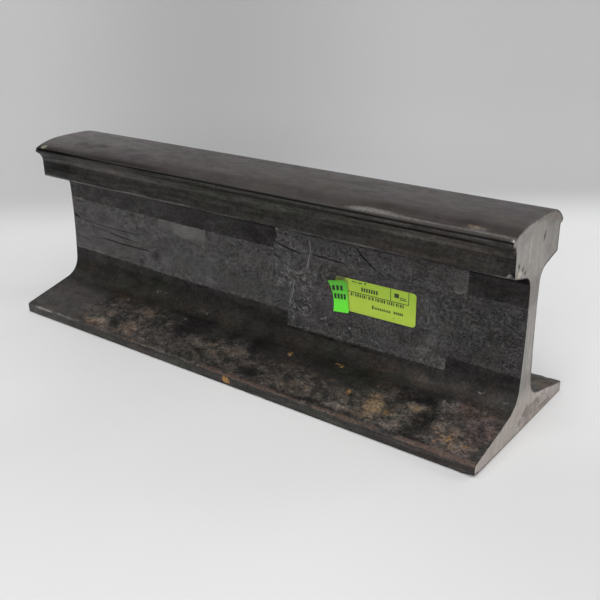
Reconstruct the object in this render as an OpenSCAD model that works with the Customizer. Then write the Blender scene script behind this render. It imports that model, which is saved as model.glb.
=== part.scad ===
// Worn tee rail section: one sawn length of flat-bottomed steel rail, with clear packing tape
// round its web, a printed paper label and a small lot tag.
// Millimetres. X runs along the rail, Y across it, Z up.
// Origin: centre of the length, middle of the foot, on the flat underside of the foot.

/* [Section] */
// Sawn length of the rail along X.
rail_length = 437.6; // [300:0.1:600]
// Width of the foot across Y.
foot_width = 136.5; // [128:0.5:150]
// Height from the underside of the foot to the top of the worn crown.
rail_height = 148.5; // [146:0.5:154]
// Thickness of the foot at its outer edges.
foot_edge = 8.4; // [6:0.1:12]
// Rise over run of the foot's top face and the head's underside (1 in 4).
slope = 0.25; // [0.22:0.01:0.27]
// Height where the two slopes of the head's underside would meet over the centre.
head_root = 109; // [107:0.1:110]

/* [Web] */
// Thickness of the web at its thinnest.
web_thickness = 14.56; // [13:0.02:18]
// Radius of the web's hollow sides.
web_radius = 528; // [450:1:700]
// Height of the thinnest place of the web.
web_waist = 83.5; // [74:0.5:92]
// Radius of the fillet between foot and web.
fillet_low = 17.7; // [12:0.1:20]
// Radius of the fillet between web and head.
fillet_high = 10.2; // [6:0.1:12]

/* [Head] */
// Width of the head between its upright sides.
head_width = 66.2; // [65:0.1:68]
// Radius of the worn crown.
crown_radius = 333; // [250:1:500]
// Rounding of the head's two lower corners.
head_corner = 1.2; // [0.5:0.1:2.5]
// Front: distance from the centre where the crown turns into the worn shoulder.
front_turn = 14; // [12:0.1:16]
// Front: radius of the worn shoulder.
front_shoulder = 70; // [66:0.5:76]
// Front: how far the rolled lip reaches from the centre.
front_reach = 39.6; // [39:0.1:40.2]
// Front: radius of the lip's edge.
front_bead = 2.3; // [1.8:0.05:2.6]
// Front: radius of the hollow under the lip.
front_hollow = 9; // [8:0.1:10]
// Back: distance from the centre where the crown turns into the worn shoulder.
back_turn = 17.7; // [16:0.1:19]
// Back: radius of the worn shoulder.
back_shoulder = 27.3; // [26:0.1:29]
// Back: how far the rolled lip reaches from the centre.
back_reach = 36.9; // [36.5:0.1:37.3]
// Back: radius of the lip's bead.
back_bead = 2.2; // [1.8:0.1:2.4]
// Back: radius of the notch under the bead.
back_hollow = 1.4; // [1:0.1:2]

/* [Foot] */
// Rounding of the foot's upper outer corners.
foot_round_top = 1.6; // [0.5:0.1:3]
// Rounding of the foot's lower outer corners.
foot_round_low = 1.2; // [0.5:0.1:3]
// How far the ground-off foot corner reaches along each of its two edges.
corner_run = 9; // [4:0.5:20]
// How high the ground-off foot corner reaches at the sawn end.
corner_rise = 1.7; // [1:0.1:4]

/* [Tape and labels] */
// Thickness of the clear tape film.
film = 0.08; // [0.05:0.01:0.2]
// Width of the tape.
tape_width = 47.8; // [46:0.1:50]
// Height of the long strip's lower edge at the left end.
strip_left = 45.7; // [43:0.1:47]
// Height of the long strip's lower edge from its middle to the right end.
strip_right = 42.75; // [40:0.05:44]
// Lower edge of the upper short strip.
upper_low = 60.4; // [57:0.1:64]
// Left end of the upper short strip.
upper_x0 = 17; // [10:0.5:30]
// Right end of the upper short strip.
upper_x1 = 178; // [160:0.5:200]
// Lower edge of the lower short strip at its left end.
lower_low = 31.6; // [27:0.1:33]
// Left end of the lower short strip.
lower_x0 = 30; // [20:0.5:36]
// Right end of the lower short strip.
lower_x1 = 165.5; // [150:0.5:190]
// Thickness of the paper label.
label_thick = 0.1; // [0.08:0.01:0.3]
// Length of the paper label.
label_long = 66.7; // [60:0.1:70]
// Height of the paper label.
label_tall = 24.6; // [22:0.1:27]
// Corner radius of the paper label.
label_round = 2.6; // [1:0.1:4]
// Thickness of the lot tag.
tag_thick = 0.12; // [0.1:0.01:0.3]
// Width of the lot tag.
tag_wide = 14.2; // [12:0.1:16]
// Height of the lot tag.
tag_tall = 24.6; // [22:0.1:27]
// Radius of the tag's upper right corner.
tag_round_top = 3; // [1:0.1:5]
// Radius of the tag's lower right corner.
tag_round_low = 1.6; // [0.5:0.1:4]
// Radius of the hollow in the tag's left edge.
tag_hollow = 53.4; // [45:0.1:80]
// Radius of the curl that lifts the tag's upper left corner.
tag_curl = 31; // [25:0.5:60]

/* [Show] */
// Piece to draw.

/* [Hidden] */
$fn = 96;
eps = 0.01;
steel = [0.24, 0.22, 0.205];
clear_film = [0.62, 0.62, 0.6, 0.45];
label_colour = [0.66, 0.75, 0.2];
tag_colour = [0.28, 0.85, 0.24];

half_foot = foot_width / 2;
half_head = head_width / 2;
foot_top = foot_edge + slope * half_foot;          // where the foot's slope meets the centre
k = sqrt(1 + slope * slope);
n_low = [slope, 1] / k;                             // up and out from the foot's top
n_high = [slope, -1] / k;                           // down and out from the head's underside
d_low = [1, -slope] / k;                            // outward along the foot's top
d_high = [1, slope] / k;                            // outward along the head's underside
web_centre = [web_thickness / 2 + web_radius, web_waist];

function dot2(a, b) = a[0] * b[0] + a[1] * b[1];
// Centre of a fillet of radius r that touches the sloping line and, from inside, the web's hollow.
function fillet_centre(q, n, d, r) =
    let (p = q + n * r, w = p - web_centre, b = dot2(d, w), c = dot2(w, w) - pow(web_radius - r, 2))
    p + d * (-b - sqrt(b * b - c));
c_low = fillet_centre([0, foot_top], n_low, d_low, fillet_low);
c_high = fillet_centre([0, head_root], n_high, d_high, fillet_high);
t_low = c_low - n_low * fillet_low;                 // on the foot's top
t_high = c_high - n_high * fillet_high;             // on the head's underside
w_low = web_centre + (c_low - web_centre) * (web_radius + 6) / norm(c_low - web_centre);
w_high = web_centre + (c_high - web_centre) * (web_radius + 6) / norm(c_high - web_centre);

// A disc.
module disc(c, r) { translate(c) circle(r = r); }

// Space beside the web between head and foot, on the +Y side.
module channel() {
    far = 90;
    polygon([t_high, t_high + d_high * far, t_low + d_low * far, t_low, c_low, c_high]);
    disc(c_high, fillet_high);
    disc(c_low, fillet_low);
    intersection() {
        translate(web_centre) circle(r = web_radius, $fn = 720);
        polygon([c_high, w_high, w_low, c_low]);
    }
}

// Half of the head on the +Y side: crown, worn shoulder and rolled lip.
module head_half(turn, shoulder, reach, bead, hollow) {
    crown = [0, rail_height - crown_radius];
    turn_z = crown[1] + sqrt(crown_radius * crown_radius - turn * turn);
    a = asin(turn / crown_radius);
    cs = [turn - shoulder * sin(a), turn_z - shoulder * cos(a)];
    px = reach - bead;
    p = [px, cs[1] + sqrt(pow(shoulder - bead, 2) - pow(px - cs[0], 2))];
    hx = half_head + hollow;
    ch = [hx, p[1] - sqrt(pow(hollow + bead, 2) - pow(hx - px, 2))];
    out = p + (p - cs) * (6 / norm(p - cs));
    base = head_root - 8;
    difference() {
        union() {
            intersection() {
                disc(crown, crown_radius);
                translate([-4, base]) square([turn + 4, 80]);
            }
            intersection() {
                disc(cs, shoulder);
                translate([turn - 0.5, ch[1] - 6]) square([60, 80]);
                disc(crown, crown_radius);
            }
            translate([0, base]) square([half_head, ch[1] - base]);
        }
        polygon([[half_head, base - 1], [half_head, ch[1]], ch, p, out, [90, out[1]], [90, base - 1]]);
        disc(ch, hollow);
        if (out[0] < 80) polygon([p, out, [90, out[1]], [90, p[1]]]);
    }
    disc(p, bead);
}

// Lower corner of the head, rounded.
under_z = head_root + slope * half_head;
corner_c = [half_head - head_corner,
            head_root + slope * (half_head - head_corner) + head_corner * k];

// Half of the whole section on the +Y side.
module half_section(turn, shoulder, reach, bead, hollow) {
    ct = [half_foot - foot_round_top,
          foot_edge + slope * foot_round_top - foot_round_top * k];
    difference() {
        union() {
            translate([-4, 0]) square([half_foot + 4, 60]);
            translate([-4, 40]) square([30, 70]);
            head_half(turn, shoulder, reach, bead, hollow);
        }
        channel();
        polygon([[half_head, corner_c[1]], corner_c, corner_c + n_high * head_corner,
                 [half_head + 3, under_z - 3]]);
        polygon([[half_foot + 3, ct[1]], ct, ct + n_low * foot_round_top, [half_foot + 3, 30]]);
        translate([half_foot - foot_round_low, -1]) square([5, 1 + foot_round_low]);
    }
    disc(corner_c, head_corner);
    disc(ct, foot_round_top);
    translate([half_foot - foot_round_low, foot_round_low]) circle(r = foot_round_low);
}

module section() {
    half_section(back_turn, back_shoulder, back_reach, back_bead, back_hollow);
    mirror([1, 0]) half_section(front_turn, front_shoulder, front_reach, front_bead, front_hollow);
}

// Extrudes a section (drawn as Y, Z) along X between x0 and x1.
module along(x0, x1) {
    translate([x0, 0, 0]) rotate([90, 0, 90]) linear_extrude(height = x1 - x0) children();
}

// Layer lying on the web and its fillets on the +Y side, out to the height d above the steel.
module layer(d) {
    intersection() {
        difference() {
            translate(web_centre) circle(r = web_radius, $fn = 720);
            translate(web_centre) circle(r = web_radius - d, $fn = 720);
        }
        polygon([c_high, w_high, w_low, c_low]);
    }
    intersection() {
        difference() { disc(c_high, fillet_high); disc(c_high, fillet_high - d); }
        polygon([c_high, w_high, [w_high[0], c_high[1] + 14], [c_high[0] - 4, c_high[1] + 14]]);
    }
    intersection() {
        difference() { disc(c_low, fillet_low); disc(c_low, fillet_low - d); }
        polygon([c_low, w_low, [w_low[0], c_low[1] - 24], [c_low[0] - 6, c_low[1] - 24]]);
    }
}

// Upright prism with an outline drawn in X and Z, reaching from the centre plane to the front.
module front_prism() { rotate([90, 0, 0]) linear_extrude(height = 60) children(); }

// Front layer between two heights above the steel, within an outline drawn in X and Z.
module front_skin(d0, d1) {
    intersection() {
        difference() {
            along(-rail_length / 2, rail_length / 2) mirror([1, 0]) layer(d1);
            if (d0 > 0) along(-rail_length, rail_length) mirror([1, 0]) layer(d0);
        }
        front_prism() children();
    }
}

half_len = rail_length / 2;

// Outline of the long strip, in X and Z.
module strip_outline() {
    polygon([[-half_len - 2, strip_left], [-110, strip_right + 0.85], [-60, strip_right],
             [half_len + 2, strip_right], [half_len + 2, strip_right + tape_width - 0.1],
             [-60, strip_right + tape_width + 0.15], [-190, strip_left + tape_width - 1.4],
             [-half_len - 2, strip_left + tape_width + 0.4]]);
}

// Flat ground across the foot's lower front corner at the right-hand sawn end.
module ground_corner() {
    reach = corner_run / sqrt(2);
    translate([half_len, -half_foot, 0]) rotate([0, 0, -45]) translate([-reach, 0, 0])
        rotate([0, -atan(corner_rise / reach), 0]) translate([0, -30, -20]) cube([30, 60, 20]);
}

module rail() {
    color(steel) difference() {
        along(-half_len, half_len) section();
        ground_corner();
    }
}

module tape_long() {
    color(clear_film) intersection() {
        union() {
            difference() {
                along(-half_len - film, half_len + film) {
                    intersection() {
                        union() { section(); layer(film); mirror([1, 0]) layer(film); }
                        translate([-20, 38]) square([40, 62]);
                    }
                }
                along(-half_len, half_len) section();
            }
        }
        rotate([90, 0, 0]) translate([0, 0, -60]) linear_extrude(height = 120) strip_outline();
    }
}

module tape_lower() {
    color(clear_film) difference() {
        front_skin(0, 2 * film) polygon([[lower_x0, lower_low], [lower_x1, lower_low + 1.5],
            [lower_x1, lower_low + 1.5 + tape_width], [lower_x0, lower_low + tape_width]]);
        tape_long();
    }
}

module tape_upper() {
    color(clear_film) difference() {
        front_skin(0, 3 * film) polygon([[upper_x0, upper_low], [upper_x1, upper_low],
            [upper_x1, upper_low + tape_width], [upper_x0 + 2.5, upper_low + tape_width]]);
        tape_long();
        tape_lower();
    }
}

module rounded(w, h, r) {
    translate([r, 0]) square([w - 2 * r, h]);
    translate([0, r]) square([w, h - 2 * r]);
    for (x = [r, w - r], y = [r, h - r]) translate([x, y]) circle(r = r, $fn = 48);
}

module paper_label() {
    color(label_colour) front_skin(3 * film, 3 * film + label_thick)
        translate([74, 56.2]) rotate(0.7) rounded(label_long, label_tall, label_round);
}

// The tag lies flat at its lower right and curls away from the web towards its upper left.
module lot_tag() {
    low = 3 * film + label_thick;
    fold = [76.6, 58.2];                            // a point of the fold line, in X and Z
    lean = 28.6;                                    // the fold line's lean from upright
    color(tag_colour) {
        front_skin(low, low + tag_thick) intersection() {
            tag_outline();
            translate(fold) rotate(-lean) translate([-1, -60]) square([60, 120]);
        }
        intersection() {
            front_prism() tag_outline();
            translate([fold[0], -web_thickness / 2 - low - 0.68, fold[1]]) rotate([2, 0, 0])
                rotate([0, lean, 0]) translate([0.1, -tag_curl, -60])
                linear_extrude(height = 120) difference() {
                    circle(r = tag_curl);
                    circle(r = tag_curl - tag_thick);
                    translate([0, -100]) square([200, 200]);
                    translate([-100, -101]) square([200, 100]);
                }
        }
    }
}

module tag_outline() {
    translate([86.3, 54.4]) rotate(6) translate([-tag_wide, 0]) difference() {
        hull() {
            square([1, tag_tall]);
            translate([tag_wide - tag_round_low, tag_round_low])
                circle(r = tag_round_low, $fn = 48);
            translate([tag_wide - tag_round_top, tag_tall - tag_round_top])
                circle(r = tag_round_top, $fn = 48);
        }
        translate([1.75 - tag_hollow, 11]) circle(r = tag_hollow, $fn = 240);
    }
}

rail();
tape_long();
tape_lower();
tape_upper();
paper_label();
lot_tag();
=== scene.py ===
"""Worn tee rail section with packing tape round its web, a paper label and a small lot tag."""

import math

import bpy
import numpy as np
from mathutils import Matrix, Vector
from mathutils.geometry import delaunay_2d_cdt


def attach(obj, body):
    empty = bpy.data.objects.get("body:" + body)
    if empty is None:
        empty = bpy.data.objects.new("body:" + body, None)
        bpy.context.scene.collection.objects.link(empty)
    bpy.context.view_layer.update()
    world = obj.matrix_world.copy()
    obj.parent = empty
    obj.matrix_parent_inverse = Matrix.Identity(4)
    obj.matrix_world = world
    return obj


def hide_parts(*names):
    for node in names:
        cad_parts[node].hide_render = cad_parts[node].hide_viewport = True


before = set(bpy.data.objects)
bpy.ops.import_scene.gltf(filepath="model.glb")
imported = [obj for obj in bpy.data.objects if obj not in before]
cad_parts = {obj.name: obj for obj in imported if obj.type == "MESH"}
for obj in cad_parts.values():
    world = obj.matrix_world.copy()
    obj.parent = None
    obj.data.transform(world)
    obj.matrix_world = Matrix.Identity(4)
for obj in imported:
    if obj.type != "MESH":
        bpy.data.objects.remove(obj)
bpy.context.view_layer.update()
scene = bpy.context.scene
MM = 0.001

# ---------------------------------------------------------------- camera
cam_data = bpy.data.cameras.new("camera")
cam_data.sensor_width = 36.0
cam_data.lens = 50.8903
cam_data.clip_start, cam_data.clip_end = 0.02, 50.0
cam = bpy.data.objects.new("camera", cam_data)
RIGHT = Vector((0.7954324737, 0.6058926664, -0.0134631561))
UP = Vector((-0.2236919903, 0.3141702960, 0.9226369376))
BACKWARD = Vector((0.5632486780, -0.7308837814, 0.3854345921))
EYE = Vector((0.4004721787, -0.4737481797, 0.2994521086))
cam.matrix_world = Matrix((
    (RIGHT.x, UP.x, BACKWARD.x, EYE.x), (RIGHT.y, UP.y, BACKWARD.y, EYE.y),
    (RIGHT.z, UP.z, BACKWARD.z, EYE.z), (0, 0, 0, 1)))
scene.collection.objects.link(cam)
scene.camera = cam
scene.view_settings.view_transform = "Standard"


# ---------------------------------------------------------------- noise
def lattice(ix, iy, iz, seed):
    h = (ix * 374761393 + iy * 668265263 + iz * 1442695041 + seed * 974634777) & 0xFFFFFFFF
    h = ((h ^ (h >> 13)) * 1274126177) & 0xFFFFFFFF
    h = ((h ^ (h >> 16)) * 2246822519) & 0xFFFFFFFF
    return ((h >> 8) & 0xFFFF) / 32767.5 - 1.0


def noise(p, size, seed=0):
    """Smooth seeded noise from -1 to 1 at points p, with cells of the given size (mm)."""
    q = np.asarray(p, float) / size
    i = np.floor(q).astype(np.int64)
    f = q - i
    f = f * f * f * (f * (f * 6 - 15) + 10)
    total = 0
    for dx in (0, 1):
        wx = f[..., 0] if dx else 1 - f[..., 0]
        for dy in (0, 1):
            wy = f[..., 1] if dy else 1 - f[..., 1]
            for dz in (0, 1):
                wz = f[..., 2] if dz else 1 - f[..., 2]
                total = total + wx * wy * wz * lattice(
                    i[..., 0] + dx, i[..., 1] + dy, i[..., 2] + dz, seed)
    return total


def fbm(p, size, octaves=4, gain=0.5, seed=0):
    size = np.asarray(size, float)
    total, amount, norm = 0, 1.0, 0.0
    for k in range(octaves):
        total = total + amount * noise(p, size / 2 ** k, seed + 31 * k)
        norm += amount
        amount *= gain
    return total / norm


def smooth(x, lo, hi):
    t = np.clip((np.asarray(x, float) - lo) / (hi - lo), 0, 1)
    return t * t * (3 - 2 * t)


def bell(x, centre, width):
    return np.exp(-((np.asarray(x, float) - centre) / width) ** 2)


# ---------------------------------------------------------------- rail section
L = 437.6
HALF_L = L / 2
HALF_FOOT = 68.25
HEIGHT = 148.5
SLOPE = 0.25
K = math.sqrt(1 + SLOPE * SLOPE)
N_LOW, N_HIGH = np.array([SLOPE, 1]) / K, np.array([SLOPE, -1]) / K
D_LOW, D_HIGH = np.array([1, -SLOPE]) / K, np.array([1, SLOPE]) / K
FOOT_EDGE = 8.4
FOOT_TOP = FOOT_EDGE + SLOPE * HALF_FOOT
HEAD_ROOT = 109.0
HALF_HEAD = 33.1
WEB_R = 528.0
WEB_C = np.array([7.28 + WEB_R, 83.5])
R_LOW, R_HIGH = 17.7, 10.2
CROWN_R = 333.0
ROUND_TOP, ROUND_LOW, HEAD_CORNER = 1.6, 1.2, 1.2
BACK = dict(turn=17.7, shoulder=27.3, reach=36.9, bead=2.2, hollow=1.4)
FRONT = dict(turn=14.0, shoulder=70.0, reach=39.6, bead=2.3, hollow=9.0)


def fillet_centre(q, n, d, r):
    p = q + n * r
    w = p - WEB_C
    b, c = float(d @ w), float(w @ w) - (WEB_R - r) ** 2
    return p + d * (-b - math.sqrt(b * b - c))


C_LOW = fillet_centre(np.array([0, FOOT_TOP]), N_LOW, D_LOW, R_LOW)
C_HIGH = fillet_centre(np.array([0, HEAD_ROOT]), N_HIGH, D_HIGH, R_HIGH)


def web_touch(c):
    v = c - WEB_C
    return WEB_C + v * WEB_R / np.linalg.norm(v)


W_LOW, W_HIGH = web_touch(C_LOW), web_touch(C_HIGH)


def skin(z):
    """Half thickness of web and fillets at height z."""
    z = np.asarray(z, float)
    web = WEB_C[0] - np.sqrt(WEB_R ** 2 - (z - WEB_C[1]) ** 2)
    low = C_LOW[0] - np.sqrt(np.maximum(R_LOW ** 2 - (z - C_LOW[1]) ** 2, 0))
    high = C_HIGH[0] - np.sqrt(np.maximum(R_HIGH ** 2 - (z - C_HIGH[1]) ** 2, 0))
    return np.where(z < W_LOW[1], low, np.where(z > W_HIGH[1], high, web))


def angle(v):
    return math.atan2(v[1], v[0])


def arc(c, r, a0, a1, step):
    n = max(2, math.ceil(abs(a1 - a0) * r / step))
    t = np.linspace(a0, a1, n + 1)
    return np.asarray(c) + r * np.c_[np.cos(t), np.sin(t)]


def line(a, b, step):
    a, b = np.asarray(a, float), np.asarray(b, float)
    n = max(1, math.ceil(np.linalg.norm(b - a) / step))
    return a + (b - a) * np.linspace(0, 1, n + 1)[:, None]


def half_outline(p, step):
    """Stretches of one half, from the middle of the underside to the middle of the crown."""
    a = math.asin(p["turn"] / CROWN_R)
    crown = np.array([0, HEIGHT - CROWN_R])
    aim = np.array([math.sin(a), math.cos(a)])
    cs = crown + CROWN_R * aim - p["shoulder"] * aim
    px = p["reach"] - p["bead"]
    bead = np.array([px, cs[1] + math.sqrt((p["shoulder"] - p["bead"]) ** 2 - (px - cs[0]) ** 2)])
    hx = HALF_HEAD + p["hollow"]
    hollow = np.array([hx, bead[1] - math.sqrt((p["hollow"] + p["bead"]) ** 2 - (hx - px) ** 2)])
    cx = HALF_HEAD - HEAD_CORNER
    corner = np.array([cx, HEAD_ROOT + SLOPE * cx + HEAD_CORNER * K])
    top = np.array([HALF_FOOT - ROUND_TOP, FOOT_EDGE + SLOPE * ROUND_TOP - ROUND_TOP * K])
    t_low, t_high = C_LOW - N_LOW * R_LOW, C_HIGH - N_HIGH * R_HIGH
    low = np.array([HALF_FOOT - ROUND_LOW, ROUND_LOW])
    full = 2 * math.pi
    return [
        ("bottom", line((0, 0), (low[0], 0), step["bottom"])),
        ("round_low", arc(low, ROUND_LOW, -math.pi / 2, 0, step["round"])),
        ("edge", line((HALF_FOOT, ROUND_LOW), (HALF_FOOT, top[1]), step["edge"])),
        ("round_top", arc(top, ROUND_TOP, 0, angle(N_LOW), step["round"])),
        ("foot", line(top + N_LOW * ROUND_TOP, t_low, step["foot"])),
        ("fillet_low", arc(C_LOW, R_LOW, angle(-N_LOW), angle(W_LOW - C_LOW) % full - full,
                           step["fillet_low"])),
        ("web", arc(WEB_C, WEB_R, angle(W_LOW - WEB_C) % full, angle(W_HIGH - WEB_C) % full,
                    step["web"])),
        ("fillet_high", arc(C_HIGH, R_HIGH, angle(W_HIGH - C_HIGH) % full, angle(-N_HIGH),
                            step["fillet_high"])),
        ("under", line(t_high, corner + N_HIGH * HEAD_CORNER, step["under"])),
        ("corner", arc(corner, HEAD_CORNER, angle(N_HIGH), 0, step["corner"])),
        ("side", line((HALF_HEAD, corner[1]), (HALF_HEAD, hollow[1]), step["side"])),
        ("hollow", arc(hollow, p["hollow"], math.pi, angle(bead - hollow), step["hollow"])),
        ("bead", arc(bead, p["bead"], angle(hollow - bead), angle(bead - cs), step["bead"])),
        ("shoulder", arc(cs, p["shoulder"], angle(bead - cs), math.pi / 2 - a, step["shoulder"])),
        ("crown", arc(crown, CROWN_R, math.pi / 2 - a, math.pi / 2, step["crown"])),
    ]


STEP = {
    1: dict(bottom=6, round=0.5, edge=1.2, foot=2.1, fillet_low=2.0, web=3.4, fillet_high=1.6,
            under=2.6, corner=0.5, side=2.0, hollow=0.4, bead=0.5, shoulder=1.5, crown=3.0),
    -1: dict(bottom=6, round=0.4, edge=0.9, foot=1.7, fillet_low=1.7, web=2.8, fillet_high=1.4,
             under=2.4, corner=0.35, side=1.4, hollow=0.42, bead=0.3, shoulder=1.3, crown=2.6),
}


def outline():
    """Closed outline of the section in Y and Z, with the side and stretch of each point."""
    pts, tags = [], []
    for side, p in ((1, BACK), (-1, FRONT)):
        half, names = [], []
        for name, a in half_outline(p, STEP[side]):
            a = a[1:] if half else a
            half += [tuple(q) for q in a]
            names += [name] * len(a)
        if side < 0:
            half, names = half[::-1][1:-1], names[::-1][1:-1]
        pts += [(side * u, z) for u, z in half]
        tags += [(side, n) for n in names]
    return np.array(pts), tags


def mesh_object(name, verts, faces, materials, smooth_faces=True, index=None, sharp=None):
    mesh = bpy.data.meshes.new(name)
    mesh.from_pydata([tuple(v) for v in verts], [], faces)
    mesh.validate()
    mesh.update()
    for m in materials:
        mesh.materials.append(m)
    if index is not None:
        mesh.polygons.foreach_set("material_index", np.asarray(index, np.int32))
    mesh.polygons.foreach_set("use_smooth", np.full(len(mesh.polygons), smooth_faces))
    if sharp is not None:
        mesh.set_sharp_from_angle(angle=math.radians(sharp))
    obj = bpy.data.objects.new(name, mesh)
    scene.collection.objects.link(obj)
    return obj


def paint(obj, name, rgb):
    """Stores three numbers per vertex for the material's nodes."""
    a = obj.data.attributes.new(name, "FLOAT_COLOR", "POINT")
    rgba = np.ones((len(obj.data.vertices), 4), np.float32)
    rgba[:, :3] = rgb
    a.data.foreach_set("color", rgba.ravel())


# ---------------------------------------------------------------- material nodes
class Nodes:
    """One procedural material. Lengths in its patterns are millimetres."""

    def __init__(self, name):
        self.mat = bpy.data.materials.new(name)
        self.mat.use_nodes = True
        self.tree = self.mat.node_tree
        self.tree.nodes.clear()
        self.shader = self.add("ShaderNodeBsdfPrincipled")
        out = self.add("ShaderNodeOutputMaterial")
        self.link(self.shader.outputs[0], out.inputs["Surface"])
        where = self.add("ShaderNodeTexCoord")
        self.mm = self.vec("MULTIPLY", where.outputs["Object"], (1000, 1000, 1000))

    def add(self, kind, **props):
        n = self.tree.nodes.new(kind)
        for k, v in props.items():
            setattr(n, k, v)
        return n

    def link(self, a, b):
        self.tree.links.new(a, b)

    def put(self, value, socket):
        if isinstance(value, bpy.types.NodeSocket):
            self.link(value, socket)
        elif isinstance(value, (int, float)):
            socket.default_value = value
        else:
            v = list(value)
            if len(v) == 3 and len(socket.default_value) == 4:
                v.append(1.0)
            socket.default_value = v

    def set(self, socket, value):
        self.put(value, self.shader.inputs[socket])

    def vec(self, op, a, b=None):
        n = self.add("ShaderNodeVectorMath", operation=op)
        self.put(a, n.inputs[0])
        if b is not None:
            self.put(b, n.inputs[1])
        return n.outputs["Value"] if op in ("LENGTH", "DISTANCE", "DOT_PRODUCT") else n.outputs[0]

    def math(self, op, a, b=0.0, c=None, clamp=False):
        n = self.add("ShaderNodeMath", operation=op, use_clamp=clamp)
        self.put(a, n.inputs[0])
        self.put(b, n.inputs[1])
        if c is not None:
            self.put(c, n.inputs[2])
        return n.outputs[0]

    def mul(self, a, b):
        return self.math("MULTIPLY", a, b)

    def plus(self, a, b):
        return self.math("ADD", a, b)

    def stretch(self, x, y, z, turn=(0, 0, 0), shift=(0, 0, 0)):
        """Coordinates in which a cell is x by y by z millimetres."""
        n = self.add("ShaderNodeMapping", vector_type="TEXTURE")
        self.put(self.mm, n.inputs["Vector"])
        n.inputs["Location"].default_value = shift
        n.inputs["Rotation"].default_value = turn
        n.inputs["Scale"].default_value = (x, y, z)
        return n.outputs[0]

    def noise(self, cell, detail=3.0, rough=0.5, twist=0.0, shift=(0, 0, 0), turn=(0, 0, 0),
              colour=False):
        cell = cell if isinstance(cell, tuple) else (cell,) * 3
        n = self.add("ShaderNodeTexNoise")
        self.put(self.stretch(*cell, turn=turn, shift=shift), n.inputs["Vector"])
        n.inputs["Scale"].default_value = 1.0
        n.inputs["Detail"].default_value = detail
        n.inputs["Roughness"].default_value = rough
        n.inputs["Distortion"].default_value = twist
        return n.outputs["Color" if colour else "Fac"]

    def cells(self, cell, feature="F1", out="Distance", shift=(0, 0, 0), jitter=1.0):
        cell = cell if isinstance(cell, tuple) else (cell,) * 3
        n = self.add("ShaderNodeTexVoronoi", feature=feature)
        self.put(self.stretch(*cell, shift=shift), n.inputs["Vector"])
        n.inputs["Scale"].default_value = 1.0
        n.inputs["Randomness"].default_value = jitter
        return n.outputs[out]

    def range(self, x, lo, hi, a=0.0, b=1.0, soft=True):
        n = self.add("ShaderNodeMapRange", interpolation_type="SMOOTHSTEP" if soft else "LINEAR")
        n.clamp = True
        for key, v in zip(("Value", "From Min", "From Max", "To Min", "To Max"),
                          (x, lo, hi, a, b)):
            self.put(v, n.inputs[key])
        return n.outputs["Result"]

    def mix(self, fac, a, b, kind="MIX"):
        n = self.add("ShaderNodeMix", data_type="RGBA", blend_type=kind, clamp_factor=True)
        self.put(fac, n.inputs[0])
        self.put(a, n.inputs[6])
        self.put(b, n.inputs[7])
        return n.outputs[2]

    def blend(self, fac, a, b):
        n = self.add("ShaderNodeMix", data_type="FLOAT", clamp_factor=True)
        self.put(fac, n.inputs[0])
        self.put(a, n.inputs[2])
        self.put(b, n.inputs[3])
        return n.outputs[0]

    def ramp(self, fac, stops, smooth_steps=False):
        n = self.add("ShaderNodeValToRGB")
        n.color_ramp.interpolation = "EASE" if smooth_steps else "LINEAR"
        e = n.color_ramp.elements
        while len(e) < len(stops):
            e.new(0.5)
        for k, (at, rgb) in enumerate(stops):
            e[k].position = at
            e[k].color = (*rgb, 1.0)
        self.put(fac, n.inputs[0])
        return n.outputs[0]

    def painted(self, name):
        n = self.add("ShaderNodeAttribute", attribute_type="GEOMETRY", attribute_name=name)
        s = self.add("ShaderNodeSeparateColor")
        self.link(n.outputs["Color"], s.inputs[0])
        return s.outputs[0], s.outputs[1], s.outputs[2]

    def scaled(self, colour, by):
        """A colour made lighter or darker by a number."""
        return self.vec("MULTIPLY", colour, self.spread(by))

    def spread(self, x):
        n = self.add("ShaderNodeCombineXYZ")
        for k in range(3):
            self.put(x, n.inputs[k])
        return n.outputs[0]

    def bump(self, *layers):
        """Layers are (height 0 to 1, depth in mm, strength)."""
        last = None
        for height, depth, strength in layers:
            n = self.add("ShaderNodeBump")
            self.put(strength, n.inputs["Strength"])
            n.inputs["Distance"].default_value = depth * MM
            self.put(height, n.inputs["Height"])
            if last is not None:
                self.link(last, n.inputs["Normal"])
            last = n.outputs[0]
        self.link(last, self.shader.inputs["Normal"])


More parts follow.
